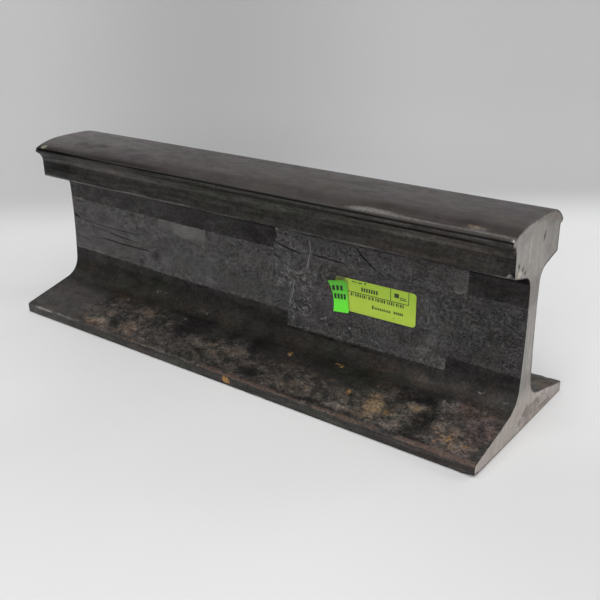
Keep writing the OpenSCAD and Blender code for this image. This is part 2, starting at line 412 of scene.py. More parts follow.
def steel_skin():
    """Oxidised rolled steel: web, head, running surface and the scaly foot."""
    m = Nodes("rail_skin")
    crown, scale, grime_and_shade = m.painted("zone")
    rust, bare_and_glint, pale = m.painted("marks")
    rim, tan, tone_and_light = m.painted("wear_and_light")
    light, warm, hue = m.painted("foot")
    streaky, mottled, specked = m.painted("grain")
    # dark rolled skin: long streaks and short flecks over soft blotches
    blotch = m.noise(14, 5, 0.55)
    fine = m.noise(2.0, 3, 0.6)
    streak = m.noise((46, 2.4, 2.4), 4, 0.6)
    fleck = m.noise((7.5, 2.2, 2.2), 3, 0.62, shift=(3, 9, 0))
    patch = m.noise((13, 8, 8), 5, 0.62, shift=(4, 4, 0))
    tint = m.noise((50, 12, 12), 2, 0.5, shift=(31, 7, 3))
    base = m.ramp(blotch, [(0.30, (0.0150, 0.0141, 0.0134)), (0.50, (0.0190, 0.0178, 0.0168)),
                           (0.70, (0.0240, 0.0225, 0.0210))])
    base = m.mix(m.mul(m.range(tint, 0.52, 0.66), 0.40), base, (0.0250, 0.0170, 0.0155))
    base = m.mix(m.mul(m.range(tint, 0.48, 0.34), 0.5), base, (0.0190, 0.0200, 0.0150))
    lift = m.mul(m.blend(streaky, 1.0, m.range(streak, 0.38, 0.62, 0.50, 1.50, soft=False)),
                 m.blend(mottled, 1.0, m.range(patch, 0.36, 0.64, 0.50, 1.50, soft=False)))
    lift = m.mul(lift, m.blend(streaky, 1.0, m.range(fleck, 0.36, 0.64, 0.70, 1.30, soft=False)))
    lift = m.mul(lift, m.blend(specked, 1.0, m.range(fine, 0.34, 0.66, 0.45, 1.55, soft=False)))
    base = m.scaled(base, lift)
    # running surface
    run_tone = m.noise((90, 9, 40), 4, 0.5, shift=(5, 2, 0))
    run_spot = m.noise((11, 6.5, 8), 4, 0.62, 0.5, shift=(9, 9, 9))
    run_line = m.noise((60, 1.9, 30), 3, 0.6, shift=(2, 6, 0))
    run = m.ramp(run_tone, [(0.30, (0.0310, 0.0245, 0.0225)), (0.70, (0.0500, 0.0425, 0.0390))])
    run = m.scaled(run, m.range(run_spot, 0.36, 0.64, 0.88, 1.12, soft=False))
    run = m.scaled(run, m.range(run_line, 0.36, 0.64, 0.90, 1.10, soft=False))
    colour = m.mix(crown, base, run)
    # flaking scale on the foot
    flake = m.noise((6.5, 5.0, 5.0), 7, 0.72, 0.1, shift=(3, 0, 0))
    field = m.noise((22, 14, 14), 3, 0.55, 0.3, shift=(8, 3, 0))
    crumbs = m.noise((1.9, 1.5, 1.5), 4, 0.70, shift=(0, 8, 0))
    lean = m.math("SUBTRACT", light, 0.5)
    layer = m.plus(flake, m.mul(m.plus(field, -0.5), 0.35))
    layer = m.plus(layer, m.mul(lean, 0.22))
    crust = m.ramp(layer, [(0.36, (0.0140, 0.0133, 0.0126)), (0.47, (0.0245, 0.0220, 0.0197)),
                           (0.56, (0.0475, 0.0415, 0.0362)), (0.70, (0.1000, 0.0875, 0.0765))])
    crust = m.scaled(crust, m.range(crumbs, 0.37, 0.63, 0.30, 1.78, soft=False))
    wire = m.noise((4.6, 2.8, 2.8), 4, 0.66, shift=(12, 5, 0))
    wire = m.range(m.math("ABSOLUTE", m.plus(wire, -0.5)), 0.0, 0.040, 1.0, 0.0)
    crust = m.mix(m.mul(m.mul(wire, m.range(layer, 0.42, 0.60)), 0.50), crust, (0.1250, 0.1100, 0.0960))
    shade = m.noise(9, 4, 0.6, shift=(0, 0, 40))
    crust = m.mix(m.mul(m.range(shade, 0.48, 0.62), m.range(layer, 0.44, 0.60, 0.0, 0.55)), crust,
                  (0.0740, 0.0540, 0.0420))
    colour = m.mix(scale, colour, crust)
    colour = m.mix(m.mul(m.mul(warm, m.range(shade, 0.40, 0.56)), 0.8), colour,
                   m.vec("MULTIPLY", colour, (1.50, 1.17, 0.92)))
    colour = m.scaled(colour, m.range(light, 0.0, 1.0, 0.45, 1.55, soft=False))
    # the oxide's cast: violet in places, olive in others
    cast = m.mix(m.range(hue, 0.5, 1.0, soft=False), (1.0, 1.0, 1.0), (1.0, 0.86, 1.0))
    cast = m.mix(m.range(hue, 0.5, 0.0, soft=False), cast, (1.0, 0.985, 0.86))
    cast = m.mix(m.mul(warm, 0.5), cast, (1.0, 0.90, 0.78))
    colour = m.vec("MULTIPLY", colour, cast)
    # tan patches, orange rust, bare or smeared metal, pale dust; the bare-metal mark also carries painted highlights
    edge = m.noise(2.4, 6, 0.7, shift=(17, 0, 0))
    tan_on = m.range(m.plus(m.plus(tan, m.mul(m.plus(edge, -0.5), 1.3)),
                            m.mul(m.plus(crumbs, -0.5), 1.6)), 0.36, 0.84)
    tan_col = m.ramp(fine, [(0.38, (0.1180, 0.0810, 0.0460)), (0.62, (0.2650, 0.1880, 0.1080))])
    colour = m.mix(m.mul(tan_on, 0.85), colour, tan_col)
    rust_on = m.range(m.plus(rust, m.mul(m.plus(edge, -0.5), 1.5)), 0.38, 0.72)
    rust_col = m.ramp(fine, [(0.36, (0.1150, 0.0560, 0.0200)), (0.62, (0.3400, 0.1880, 0.0660))])
    colour = m.mix(m.mul(rust_on, 0.82), colour, rust_col)
    flecked = m.mul(m.mul(m.plus(crumbs, -0.5), 2.6), m.range(streaky, 0.3, 0.12))
    bare_and_glint_on = m.range(m.plus(m.plus(bare_and_glint, m.mul(m.plus(streak, -0.5), 0.9)), m.mul(flecked, m.range(bare_and_glint, 0.1, 0.3))),
                      0.22, 0.80)
    bare_and_glint_col = m.ramp(fine, [(0.36, (0.1500, 0.1400, 0.1320)), (0.64, (0.2700, 0.2560, 0.2440))])
    # painted glint: where the mark runs past 1.1 it turns near white
    bare_and_glint_col = m.mix(m.range(bare_and_glint, 1.1, 1.5), bare_and_glint_col, (0.8000, 0.7900, 0.7600))
    colour = m.mix(bare_and_glint_on, colour, bare_and_glint_col)
    pale_on = m.range(m.plus(pale, m.mul(m.plus(edge, -0.5), 0.9)), 0.4, 0.65)
    colour = m.mix(pale_on, colour, (0.2900, 0.2800, 0.2050))
    rim_on = m.range(m.plus(rim, m.mul(m.plus(edge, -0.5), 1.0)), 0.3, 0.75)
    rim_col = m.ramp(crumbs, [(0.38, (0.0400, 0.0258, 0.0205)), (0.62, (0.0940, 0.0620, 0.0470))])
    colour = m.mix(m.mul(rim_on, 0.85), colour, rim_col)
    # painted shade: near black where the lip's folds, the underside of the head and the tag's lifted corner throw
    # shadow; the same mix also darkens dirt in the folds, a fringe below the lower tape and the sawn edges
    colour = m.mix(grime_and_shade, colour, (0.0030, 0.0028, 0.0027))
    # the tone number scales colour and shine: the steel's own lighter and darker stretches, and painted light and
    # shade
    colour = m.scaled(colour, m.mul(tone_and_light, 2.0))
    m.set("Base Color", colour)
    rough = m.blend(crown, m.range(blotch, 0.3, 0.7, 0.50, 0.66),
                    m.range(run_spot, 0.36, 0.64, 0.46, 0.37))
    rough = m.blend(scale, rough, m.range(flake, 0.4, 0.7, 0.62, 0.85))
    rough = m.blend(m.math("MAXIMUM", rust_on, tan_on), rough, 0.88)
    rough = m.blend(grime_and_shade, rough, 0.85)
    m.set("Roughness", rough)
    m.set("Metallic", m.blend(bare_and_glint_on, 0.0, 0.35))
    shine = m.mul(m.range(lift, 0.3, 1.7, 0.08, 0.46, soft=False), m.range(light, 0, 1, 0.6, 1.4))
    shine = m.mul(m.blend(crown, shine, 0.45), m.math("SUBTRACT", 1.0, m.mul(grime_and_shade, 0.92)))
    level = m.mul(tone_and_light, 2.0)
    level = m.mul(level, m.blend(crown, 1.0, m.mul(level, level)))
    m.set("Specular IOR Level", m.mul(shine, level))
    m.set("Specular Tint", cast)
    pits = m.range(m.noise(0.8, 3, 0.6, shift=(1, 1, 1)), 0.3, 0.7)
    m.bump((m.mul(flake, m.plus(scale, 0.12)), 1.4, 0.42),
           (m.mul(crumbs, m.plus(scale, 0.10)), 0.7, 0.6),
           (pits, 0.10, m.blend(crown, 0.6, 0.22)),
           (streak, 0.12, 0.4))
    return m.mat


def sawn_face():
    """Sawn ends: light steel with upright saw marks and a thin brown patina."""
    m = Nodes("sawn_face")
    brown, dark, rim = m.painted("face")
    _, _, tone_and_light = m.painted("wear_and_light")
    pink, pale, green = m.painted("foot")
    grain = m.noise((3, 1.5, 40), 4, 0.62)
    wide = m.noise((3, 3.6, 60), 3, 0.55, shift=(0, 4, 0))
    mottle = m.noise(6.5, 5, 0.6, 0.3)
    speck = m.noise(1.1, 4, 0.65)
    base = m.ramp(m.blend(0.40, grain, wide), [
        (0.36, (0.262, 0.243, 0.224)), (0.50, (0.345, 0.323, 0.299)), (0.62, (0.440, 0.417, 0.390))])
    base = m.mix(m.mul(m.range(mottle, 0.50, 0.66), 0.55), base, (0.270, 0.235, 0.212))
    base = m.mix(m.mul(m.range(mottle, 0.46, 0.34), 0.4), base, (0.330, 0.326, 0.320))
    base = m.scaled(base, m.range(speck, 0.25, 0.75, 0.80, 1.20, soft=False))
    base = m.mix(pink, base, m.vec("MULTIPLY", base, (1.058, 0.968, 0.966)))
    base = m.mix(green, base, m.vec("MULTIPLY", base, (1.0, 1.055, 1.015)))
    # painted light and shade across the face: lighter on the foot, darker on the head and on the web just above and
    # below the tape
    base = m.scaled(base, m.mul(tone_and_light, 2.0))
    brown_on = m.range(m.plus(brown, m.mul(m.plus(m.noise(5, 6, 0.65, shift=(2, 2, 2)), -0.5), 1.3)),
                       0.30, 0.85)
    base = m.mix(m.mul(brown_on, 0.90), base,
                 m.ramp(speck, [(0.35, (0.105, 0.083, 0.070)), (0.65, (0.235, 0.195, 0.166))]))
    pale_on = m.range(m.plus(pale, m.mul(m.plus(m.noise(2, 4, 0.6, shift=(7, 0, 0)), -0.5), 1.1)), 0.42, 0.7)
    base = m.mix(m.mul(pale_on, 0.9), base, (0.560, 0.540, 0.430))
    base = m.mix(m.range(m.plus(dark, m.mul(m.plus(speck, -0.5), 0.6)), 0.35, 0.75), base,
                 (0.060, 0.054, 0.048))
    rim_on = m.range(m.plus(rim, m.mul(m.plus(m.noise(3, 5, 0.6), -0.5), 0.8)), 0.35, 0.95)
    base = m.mix(m.mul(rim_on, 0.9), base, (0.042, 0.038, 0.034))
    m.set("Base Color", base)
    m.set("Roughness", m.range(grain, 0.3, 0.7, 0.42, 0.62))
    m.set("Metallic", m.range(brown_on, 0.0, 1.0, 0.35, 0.05))
    m.bump((grain, 0.10, 0.55), (wide, 0.25, 0.4), (speck, 0.08, 0.5))
    return m.mat


def tape_film(name, ridge=False):
    """Clear packing tape: hazy film with fine upright grain, small bubbles and dust."""
    m = Nodes(name)
    haze, glow, dim = m.painted("film")
    grain = m.noise((1.15, 1.15, 1.3), 3, 0.66)
    mottle = m.noise((9, 9, 8), 4, 0.60, 0.2)
    brush = m.noise((1.5, 1.5, 12), 3, 0.6, shift=(0, 0, 5))
    wash = m.noise((30, 30, 3.4), 3, 0.6, shift=(8, 0, 0))
    bead = m.cells((3.1, 3.1, 3.3), jitter=1.0)
    dot = m.range(bead, 0.30, 0.12)
    some = m.range(m.noise(10, 3, 0.5, shift=(50, 0, 0)), 0.46, 0.58)
    coarse = m.blend(dim, 0.70, 1.0)
    amount = m.plus(1.0, m.mul(m.range(grain, 0.38, 0.62, -1.0, 1.0, soft=False), m.mul(coarse, 1.5)))
    amount = m.math("MAXIMUM", amount, 0.05)
    amount = m.mul(amount, m.range(mottle, 0.36, 0.64, 0.80, 1.20, soft=False))
    amount = m.mul(amount, m.range(brush, 0.36, 0.64, 0.86, 1.14, soft=False))
    amount = m.mul(amount, m.range(wash, 0.36, 0.64, 0.92, 1.08, soft=False))
    amount = m.plus(amount, m.mul(m.mul(dot, some), m.mul(dim, 2.2)))
    amount = m.blend(m.mul(m.range(glow, 0.1, 0.9), 0.75), m.mul(amount, haze), haze)
    amount = m.plus(amount, m.mul(glow, m.range(grain, 0.36, 0.64, 0.90, 1.10, soft=False)))
    alpha = m.math("MINIMUM", m.mul(amount, 0.085), 0.95)
    if ridge:
        alpha = m.math("MAXIMUM", m.mul(haze, m.blend(glow, 0.72, 0.85)), alpha)
        # painted shade and highlight on folds: near black where a fold stands for its own shadow, pale where glow
        # marks a fold catching light
        m.set("Base Color", m.mix(glow, (0.018, 0.0175, 0.017), (0.29, 0.285, 0.29)))
        m.set("Roughness", m.mul(m.range(mottle, 0.3, 0.7, 0.85, 1.1), m.blend(glow, 0.8, 0.4)))
        m.set("Specular IOR Level", m.blend(glow, 0.04, 0.35))
    else:
        milk = m.ramp(mottle, [(0.3, (0.43, 0.408, 0.425)), (0.7, (0.50, 0.486, 0.490))])
        cool = m.noise((22, 22, 12), 3, 0.55, shift=(14, 0, 3))
        milk = m.vec("MULTIPLY", milk, m.ramp(cool, [
            (0.36, (0.97, 1.00, 1.02)), (0.50, (1.0, 1.0, 1.0)), (0.64, (1.02, 1.02, 0.92))]))
        milk = m.mix(m.mul(m.range(glow, 0.3, 0.9), 0.7), milk, (0.500, 0.488, 0.455))
        m.set("Base Color", milk)
        m.set("Roughness", m.range(mottle, 0.3, 0.7, 0.30, 0.48))
        m.shader.inputs["Specular IOR Level"].default_value = 0.3
    m.set("Alpha", alpha)
    m.bump((grain, 0.05, 0.5), (brush, 0.08, 0.35))
    return m.mat


def paper(name, low, high, gloss=0.55, rise=(0, 1), under=None):
    """Coloured paper, duller above the two heights of rise, with a painted shadow round a piece stuck over it."""
    m = Nodes(name)
    fibre = m.noise((0.9, 0.9, 0.5), 5, 0.6)
    cloud = m.noise(9, 4, 0.55)
    scuff = m.noise((3.2, 3.2, 1.2), 6, 0.7, shift=(6, 0, 6))
    at = m.add("ShaderNodeSeparateXYZ")
    m.put(m.mm, at.inputs[0])
    fade = m.plus(m.range(at.outputs[2], rise[1], rise[0]), m.mul(m.plus(cloud, -0.5), 0.9))
    base = m.mix(fade, low, high)
    base = m.scaled(base, m.range(fibre, 0.3, 0.7, 0.95, 1.05, soft=False))
    base = m.mix(m.mul(m.range(scuff, 0.60, 0.74), 0.35), base, (0.85, 0.86, 0.62))
    # painted shadow: darker in a band round the piece stuck over it
    if under:
        cx, cz, turn, half_w, half_h = under
        q = m.add("ShaderNodeSeparateXYZ")
        m.put(m.stretch(1, 1, 1, turn=(0, -math.radians(turn), 0), shift=(cx, 0, cz)), q.inputs[0])
        away = m.math("MAXIMUM", m.plus(m.math("ABSOLUTE", q.outputs[0]), -half_w),
                      m.plus(m.math("ABSOLUTE", q.outputs[2]), -half_h))
        base = m.scaled(base, m.range(m.plus(away, m.mul(m.plus(scuff, -0.5), 1.2)), -0.1, 2.0, 0.52, 1.0))
        # painted shadow: a dark olive patch at the top-left corner, where the lifted tag throws shade
        spot = m.vec("LENGTH", m.vec("MULTIPLY", m.vec("SUBTRACT", m.mm, (77.0, 0, 80.2)),
                                     (0.145, 0, 0.40)))
        base = m.mix(m.range(m.plus(spot, m.mul(m.plus(scuff, -0.5), 1.4)), 1.15, 0.55), base,
                     (0.105, 0.125, 0.026))
    m.set("Base Color", base)
    m.set("Roughness", m.range(scuff, 0.3, 0.7, gloss - 0.06, gloss + 0.1))
    m.bump((fibre, 0.03, 0.6), (cloud, 0.15, 0.3))
    return m.mat


def ink(name, low, high):
    m = Nodes(name)
    worn = m.noise(0.5, 4, 0.7)
    m.set("Base Color", m.mix(m.range(worn, 0.35, 0.75), low, high))
    m.set("Roughness", m.range(worn, 0.3, 0.7, 0.45, 0.65))
    m.bump((worn, 0.02, 0.5))
    return m.mat


SKIN, FACE = steel_skin(), sawn_face()
FILM, RIDGE = tape_film("tape_film"), tape_film("tape_ridge", True)


# ---------------------------------------------------------------- the rail
def stations():
    """Places along X of the rings: closer near the sawn ends."""
    near = [0.35, 0.8, 1.4, 2.1, 3.0, 4.0, 5.2, 6.6, 8.2, 10.0]
    mid = np.linspace(-HALF_L + 10.0, HALF_L - 10.0, 216)
    return np.r_[-HALF_L, -HALF_L + np.array(near[:-1]), mid, HALF_L - np.array(near[:-1])[::-1], HALF_L]


OUT, TAGS = outline()
SIDE = np.array([s for s, _ in TAGS])
NAME = np.array([n for _, n in TAGS])


def is_in(*names):
    return np.isin(NAME, names)


def outward(p):
    t = np.roll(p, -1, 0) - np.roll(p, 1, 0)
    t /= np.linalg.norm(t, axis=1)[:, None]
    return np.c_[t[:, 1], -t[:, 0]]


NORMAL = outward(OUT)
XS = stations()


def foot_scale(x, y):
    """How scaly the foot's top is: smooth near the web and at the left end."""
    a = np.abs(y)
    wander = 4 * noise(np.stack([x, y * 0, y * 0], -1), 24, 5)
    front = np.interp(x, [-218, -150, -130, -100, -60, -40, -15, 10, 30, 60, 105, 122, 140, 165, 190, 218],
                      [38, 33, 26, 26, 31, 36, 33, 33, 36, 37, 37, 33, 26, 24, 21, 20])
    inner = np.where(y < 0, front, 27) + wander
    s = smooth(a, inner - 7, inner + 8)
    left = smooth(x, -172, -138)
    return np.clip(s * (0.12 + 0.88 * left), 0, 1)


# patches on top of the foot: place, reach, light or dark, warm, violet
FOOT_PATCHES = (
    (-190, -42, 32, 20, 0.06, 0.10, 0.35), (-146, -24, 10, 5, -0.25, 0.7, 0),
    (-138, -60, 12, 4, 0.85, 0.7, 0), (-128, -48, 8, 5, 0.20, 0.4, 0), (-118, -55, 7, 6, -0.6, 0, 0),
    (-97, -53, 11, 8, 0.65, 0.6, 0), (-101, -62, 8, 2.5, 0.55, 0.6, 0), (-100, -33, 9, 6, 0.35, 0.5, 0),
    (-80, -38, 7, 8, -0.35, 0, 0), (-79, -61, 4, 2, 0.5, 0, 0.6), (-62, -28, 2.5, 2, 0.9, 0, 0),
    (-50, -34, 13, 10, -0.85, 0, 0.7), (-48, -57, 6, 5, 0.40, 0, 0.5), (-60, -60, 5, 2.5, 0.5, 0.3, 0),
    (-30, -46, 12, 4.5, 0.65, 0.1, 0), (-10, -48, 11, 8, 0.70, 0.3, 0), (-9, -30, 8, 3.5, -0.65, 0, 0.6),
    (-38, -22, 6, 7, -0.35, 0, 0.8), (-20, -22, 8, 5, 0.15, 0.3, 0), (6, -43, 9, 6, 0.85, 0.3, 0),
    (20, -30, 11, 9, -0.8, 0, 0.5), (31, -57, 8, 5, -0.85, 0, 0), (14, -58, 6, 4, 0.25, 0.3, 0),
    (49, -39, 8, 4, 0.40, 0.6, 0), (52, -56, 12, 6, 0.55, 0.5, 0), (77, -53, 13, 7, 0.5, 0.5, 0),
    (92, -30, 30, 12, -0.35, 0, 0), (113, -59, 8, 4, 0.95, 0.3, 0.3), (92, -63, 30, 1.7, -0.9, 0, 0),
    (153, -60, 9, 4, 0.9, 0.1, 0.2), (161, -39, 6, 4, 0.9, 0.4, 0), (157, -30, 15, 5.5, -0.85, 0, 0.4),
    (170, -49, 6.5, 12, -0.85, 0, -0.2), (181, -27, 9, 4.5, 0.8, 0, 0.3), (184, -52, 9, 7, 0.40, 0.6, 0.4),
    (197, -58, 8, 5, 0.45, 1.0, 0), (208, -42, 12, 18, 0.12, 0.4, 0.8), (134, -49, 11, 12, 0.5, 0.7, 0),
    (176, -63.5, 12, 1.6, -0.8, 0, 0.5), (-215, -45, 5, 14, -0.2, 0, 0.3),
    (203, -42, 22, 24, 0.12, 0.1, 0.3), (160, -50, 20, 10, 0.18, 0.1, 0), (-134, -57, 26, 8, 0.22, 0.1, 0),
    (-12, -50, 18, 8, -0.20, 0, -0.2), (-200, -34, 16, 10, 0.05, 0.2, 0.1), (60, -24, 60, 12, 0, 0, -0.4),
    (-100, -20, 70, 8, 0, 0, -0.4), (-108, -13, 5, 1.6, 0.9, 0, 0), (-134, -13, 7, 2, -0.4, 0, 0),
    (120, -17, 12, 4, 0.05, 0.9, 0.3), (150, -16, 12, 4, 0.25, 0.9, 0.3), (178, -15, 14, 4, 0.10, 0.8, 0.2),
    (210, -14, 9, 5, 0.22, 0.3, 0.1), (200, -24, 16, 6, 0.05, 0.7, 0.4), (134, -27, 14, 5, 0.05, 0.8, 0.2),
    (-52, -15, 4, 1.6, 0.7, 0, 0), (-22, -17, 8, 3, 0.35, 0.8, 0), (60, -60, 24, 2.5, 0.25, 0.2, 0.2))


def build_rail():
    n, m = len(XS), len(OUT)
    X = np.repeat(XS[:, None], m, 1)
    Y = np.repeat(OUT[None, :, 0], n, 0)
    Z = np.repeat(OUT[None, :, 1], n, 0)
    P = np.stack([X, Y, Z], -1)
    # distance that each point is worn, pitted or dented inwards
    d = 0.03 + 0.03 * (1 + fbm(P, 16, 3, seed=1))
    web = is_in("web", "fillet_low", "fillet_high", "under")
    d += web * 0.05 * (1 + fbm(P, (9, 9, 6), 3, seed=2))
    side = is_in("side", "hollow")
    d += side * 0.05 * (1 + fbm(P, (60, 2.4, 2.4), 2, seed=3))
    foot = is_in("foot", "round_top", "fillet_low")
    s = foot_scale(X, Y)
    flakes = smooth(fbm(P, 6.5, 4, 0.6, seed=4), -0.12, 0.20)
    d += foot * s * (0.34 * flakes + 0.16 * (1 + fbm(P, 3.2, 2, seed=6)))
    d += foot * (1 - s) * 0.05 * (1 + fbm(P, 11, 3, seed=7))
    edge = is_in("round_low", "edge", "round_top")
    dent = np.maximum(0, fbm(P, (17, 9, 6), 3, seed=8) - 0.08)
    d += edge * (0.10 + 0.95 * dent + 0.10 * (1 + fbm(P, 3.5, 2, seed=9)))
    d += is_in("bottom") * 0.0
    d -= is_in("bottom") * (0.03 + 0.03 * (1 + fbm(P, 16, 3, seed=1)))
    run = is_in("crown", "shoulder")
    d += run * (0.03 * (1 + fbm(P, (70, 12, 12), 2, seed=10)) + 0.012 * (1 + fbm(P, 4, 2, seed=11)))
    lip = np.isin(NAME, ["bead"]) | (np.isin(NAME, ["shoulder"]) & (np.abs(OUT[:, 0]) > 34))
    near_lip = bell(np.abs(OUT[:, 0]), 40, 4.0) * lip
    d += near_lip * (0.22 * (1 + noise(P, (46, 90, 90), 12)) + 0.10 * (1 + noise(P, (9, 30, 30), 13)))
    front = SIDE < 0
    # the rolled lip: a sharp fold under its top edge and a second one below it
    fold = front * (is_in("bead", "hollow"))
    wave = 0.35 * noise(np.stack([X, X * 0, X * 0], -1), 60, 14)
    grows = smooth(X, -110, -40) * (0.55 + 0.45 * smooth(X, 60, 150))
    upper = bell(Z, 141.6 + 0.5 * wave, 0.75) * fold
    lower = bell(Z, 136.9 + wave, 0.75) * fold * grows
    d += 0.85 * upper + 0.85 * lower
    # small notches across the lip
    for at, wide, deep in ((147.7, 0.7, 0.5), (174.2, 0.8, 0.6), (-36, 0.9, 0.35), (88, 1.1, 0.3),
                           (-171, 1.2, 0.5), (206, 1.0, 0.4)):
        d += deep * bell(X, at, wide) * np.isin(NAME, ["bead", "shoulder"]) * front * bell(
            np.abs(Y), 38.5, 3.0)
    # chipped lower corner of the head at the right-hand end
    chip = np.exp(-((X - 216.5) / 2.6) ** 2 - ((Y + 32.6) / 2.2) ** 2 - ((Z - 119.4) / 2.3) ** 2)
    d += 1.3 * chip
    # the sawn edge is eased
    ends = np.minimum(np.abs(X + HALF_L), np.abs(X - HALF_L)) < 0.01
    d += ends * (0.30 + 0.10 * noise(P, 5, 15))
    Y = Y - NORMAL[None, :, 0] * d
    Z = Z - NORMAL[None, :, 1] * d
    # flat ground across the lower front corner at the right-hand end
    reach = 9 / math.sqrt(2)

    def grind(x, y, z):
        away = ((HALF_L - x) + (y + HALF_FOOT)) / math.sqrt(2)
        lift = 1.7 * np.clip(1 - away / reach, 0, 1)
        return z + lift * np.clip(1 - z / FOOT_EDGE, 0, 1)

    Z = grind(X, Y, Z)
    verts = [np.stack([X, Y, Z], -1).reshape(-1, 3)]
    i, j = np.meshgrid(np.arange(n - 1), np.arange(m), indexing="ij")
    k = (j + 1) % m
    quads = np.stack([i * m + j, (i + 1) * m + j, (i + 1) * m + k, i * m + k], -1).reshape(-1, 4)
    faces = [tuple(int(v) for v in q[::-1]) for q in quads]
    index = [0] * len(faces)
    # attributes of the long surfaces
    zone = np.zeros((n, m, 3))
    u = np.abs(OUT[:, 0])
    crown = is_in("crown", "shoulder") * 1.0
    crown = np.where(is_in("bead"), smooth(OUT[:, 1], 141.6, 143.0), crown)
    zone[..., 0] = crown
    scaly = is_in("foot", "round_top", "fillet_low") * s
    zone[..., 1] = np.clip(scaly, 0, 1)
    def band(z, centre, half):
        return np.exp(-((z - centre) / half) ** 4)

    # painted shade along the lip's two folds, standing for the shadow under each, with some dark grime in them as well
    crisp = smooth(X, -60, 80)
    leftmost = smooth(X, -135, -175)
    grime_and_shade = (0.88 + 0.04 * crisp + 0.06 * leftmost) * band(
        Z, 141.7 + 0.5 * wave + 0.2 * leftmost, 0.80 + 0.12 * crisp + 0.35 * leftmost) * fold
    grime_and_shade = np.maximum(grime_and_shade, 0.86 * band(Z, 136.7 + wave - 0.5 * smooth(X, 170, 210), 1.15) * fold * grows
                       * (1 - 0.45 * smooth(X, 185, 212)))
    # painted shade under the head and on the top of the web just below it
    grime_and_shade = np.maximum(grime_and_shade, 0.6 * is_in("fillet_high", "under") * front * (Z > 108.4))
    grime_and_shade = np.maximum(grime_and_shade, 0.70 * is_in("web", "fillet_high") * front * smooth(Z, 105.6, 107.2)
                       * smooth(X, -45, 5))
    # dark fringe below the lower strip and a smudge under it
    grime_and_shade = np.maximum(grime_and_shade, 0.60 * is_in("fillet_low") * front * band(Z, 30.6 + 0.8 * noise(P, (5, 9, 9), 17), 1.1)
                       * smooth(X, 28, 34) * smooth(X, 140, 96) * (0.75 + 0.6 * noise(P, (4, 9, 9), 18)))
    grime_and_shade = np.maximum(grime_and_shade, 0.55 * is_in("web", "fillet_low") * front * np.exp(
        -((X - 69) / 7.0) ** 2 - ((Z - 41.2) / 1.7) ** 2))
    grime_and_shade = np.maximum(grime_and_shade, ends * 0.4)
    # shade behind the lifted corner of the tag
    grime_and_shade = np.maximum(grime_and_shade, 0.85 * is_in("web") * front * np.exp(
        -np.abs((X - 70.5) / 4.6) ** 3 - np.abs((Z - 77.3 - 0.16 * (X - 70.5)) / 1.25) ** 3))
    zone[..., 2] = np.clip(grime_and_shade, 0, 1)
    marks = np.zeros((n, m, 3))
    wear_and_light = np.zeros((n, m, 3))
    wear_and_light[..., 2] = 0.5

    def spot(x, y, rx, ry, top=1.0, z=None, rz=None):
        g = ((X - x) / rx) ** 2 + ((Y - y) / ry) ** 2
        if z is not None:
            g = g + ((Z - z) / rz) ** 2
        return top * np.exp(-g)

    on_foot = is_in("foot", "round_top") * front
    for x, y, rx, ry, top in ((47, -28.0, 2.6, 2.4, 1.05), (87, -22.6, 2.6, 1.8, 0.86),
                              (91.5, -23.8, 2.0, 2.2, 0.95), (110.8, -44.2, 2.2, 2.8, 1.0),
                              (94, -38.0, 1.8, 1.6, 0.72), (99, -49, 1.2, 1.2, 0.6), (127, -31, 2.2, 1.8, 0.60), (146, -51, 5, 3, 0.66),
                              (193, -55, 3.2, 6, 0.66), (147, -50, 4, 3, 0.58),
                              (181, -49.5, 2.6, 3.2, 0.68), (206, -56, 4, 3, 0.56), (186, -60, 3, 3, 0.55),
                              (200, -47, 2.5, 2.5, 0.52), (-144, -24, 3, 2, 0.5), (125, -60, 5, 2, 0.5)):
        marks[..., 0] = np.maximum(marks[..., 0], on_foot * spot(x, y, rx, ry, top))
    marks[..., 0] = np.maximum(marks[..., 0], on_foot * spot(139, -51, 5.5, 5.5, 0.50))
    marks[..., 0] = np.maximum(marks[..., 0], front * (spot(16.4, -68.2, 3.6, 4, 0.95, 5.6, 3.0)
                              + spot(19.0, -68.2, 2.2, 4, 0.70, 3.2, 2.4)))
    for x, y, rx, ry, top in ((134, -48, 10, 9, 0.92), (131, -40, 8, 4, 0.70),
                              (136, -58, 8, 6, 0.56), (161, -38.5, 6.5, 4.6, 0.82), (137, -29, 4, 3, 0.46),
                              (150, -50, 7, 4, 0.5), (-139, -61, 13, 4.5, 0.42),
                              (196, -59, 10, 6, 0.42), (206, -56, 6, 4, 0.48), (48, -40, 6, 3, 0.40), (89, -23, 4.5, 2.2, 0.55), (47, -29, 3, 3, 0.55), (111, -44.5, 3, 3, 0.55),
                              (193, -55, 5, 7, 0.50), (181, -49, 4, 4, 0.50),
                              (154, -17, 12, 3, 0.40), (184, -15, 20, 4, 0.22), (92, -23, 7, 4, 0.34), (190, -55, 8, 8, 0.44),
                              (150, -60, 9, 4, 0.42), (-6, -47, 12, 5, 0.30)):
        wear_and_light[..., 1] = np.maximum(wear_and_light[..., 1], on_foot * spot(x, y, rx, ry, top))
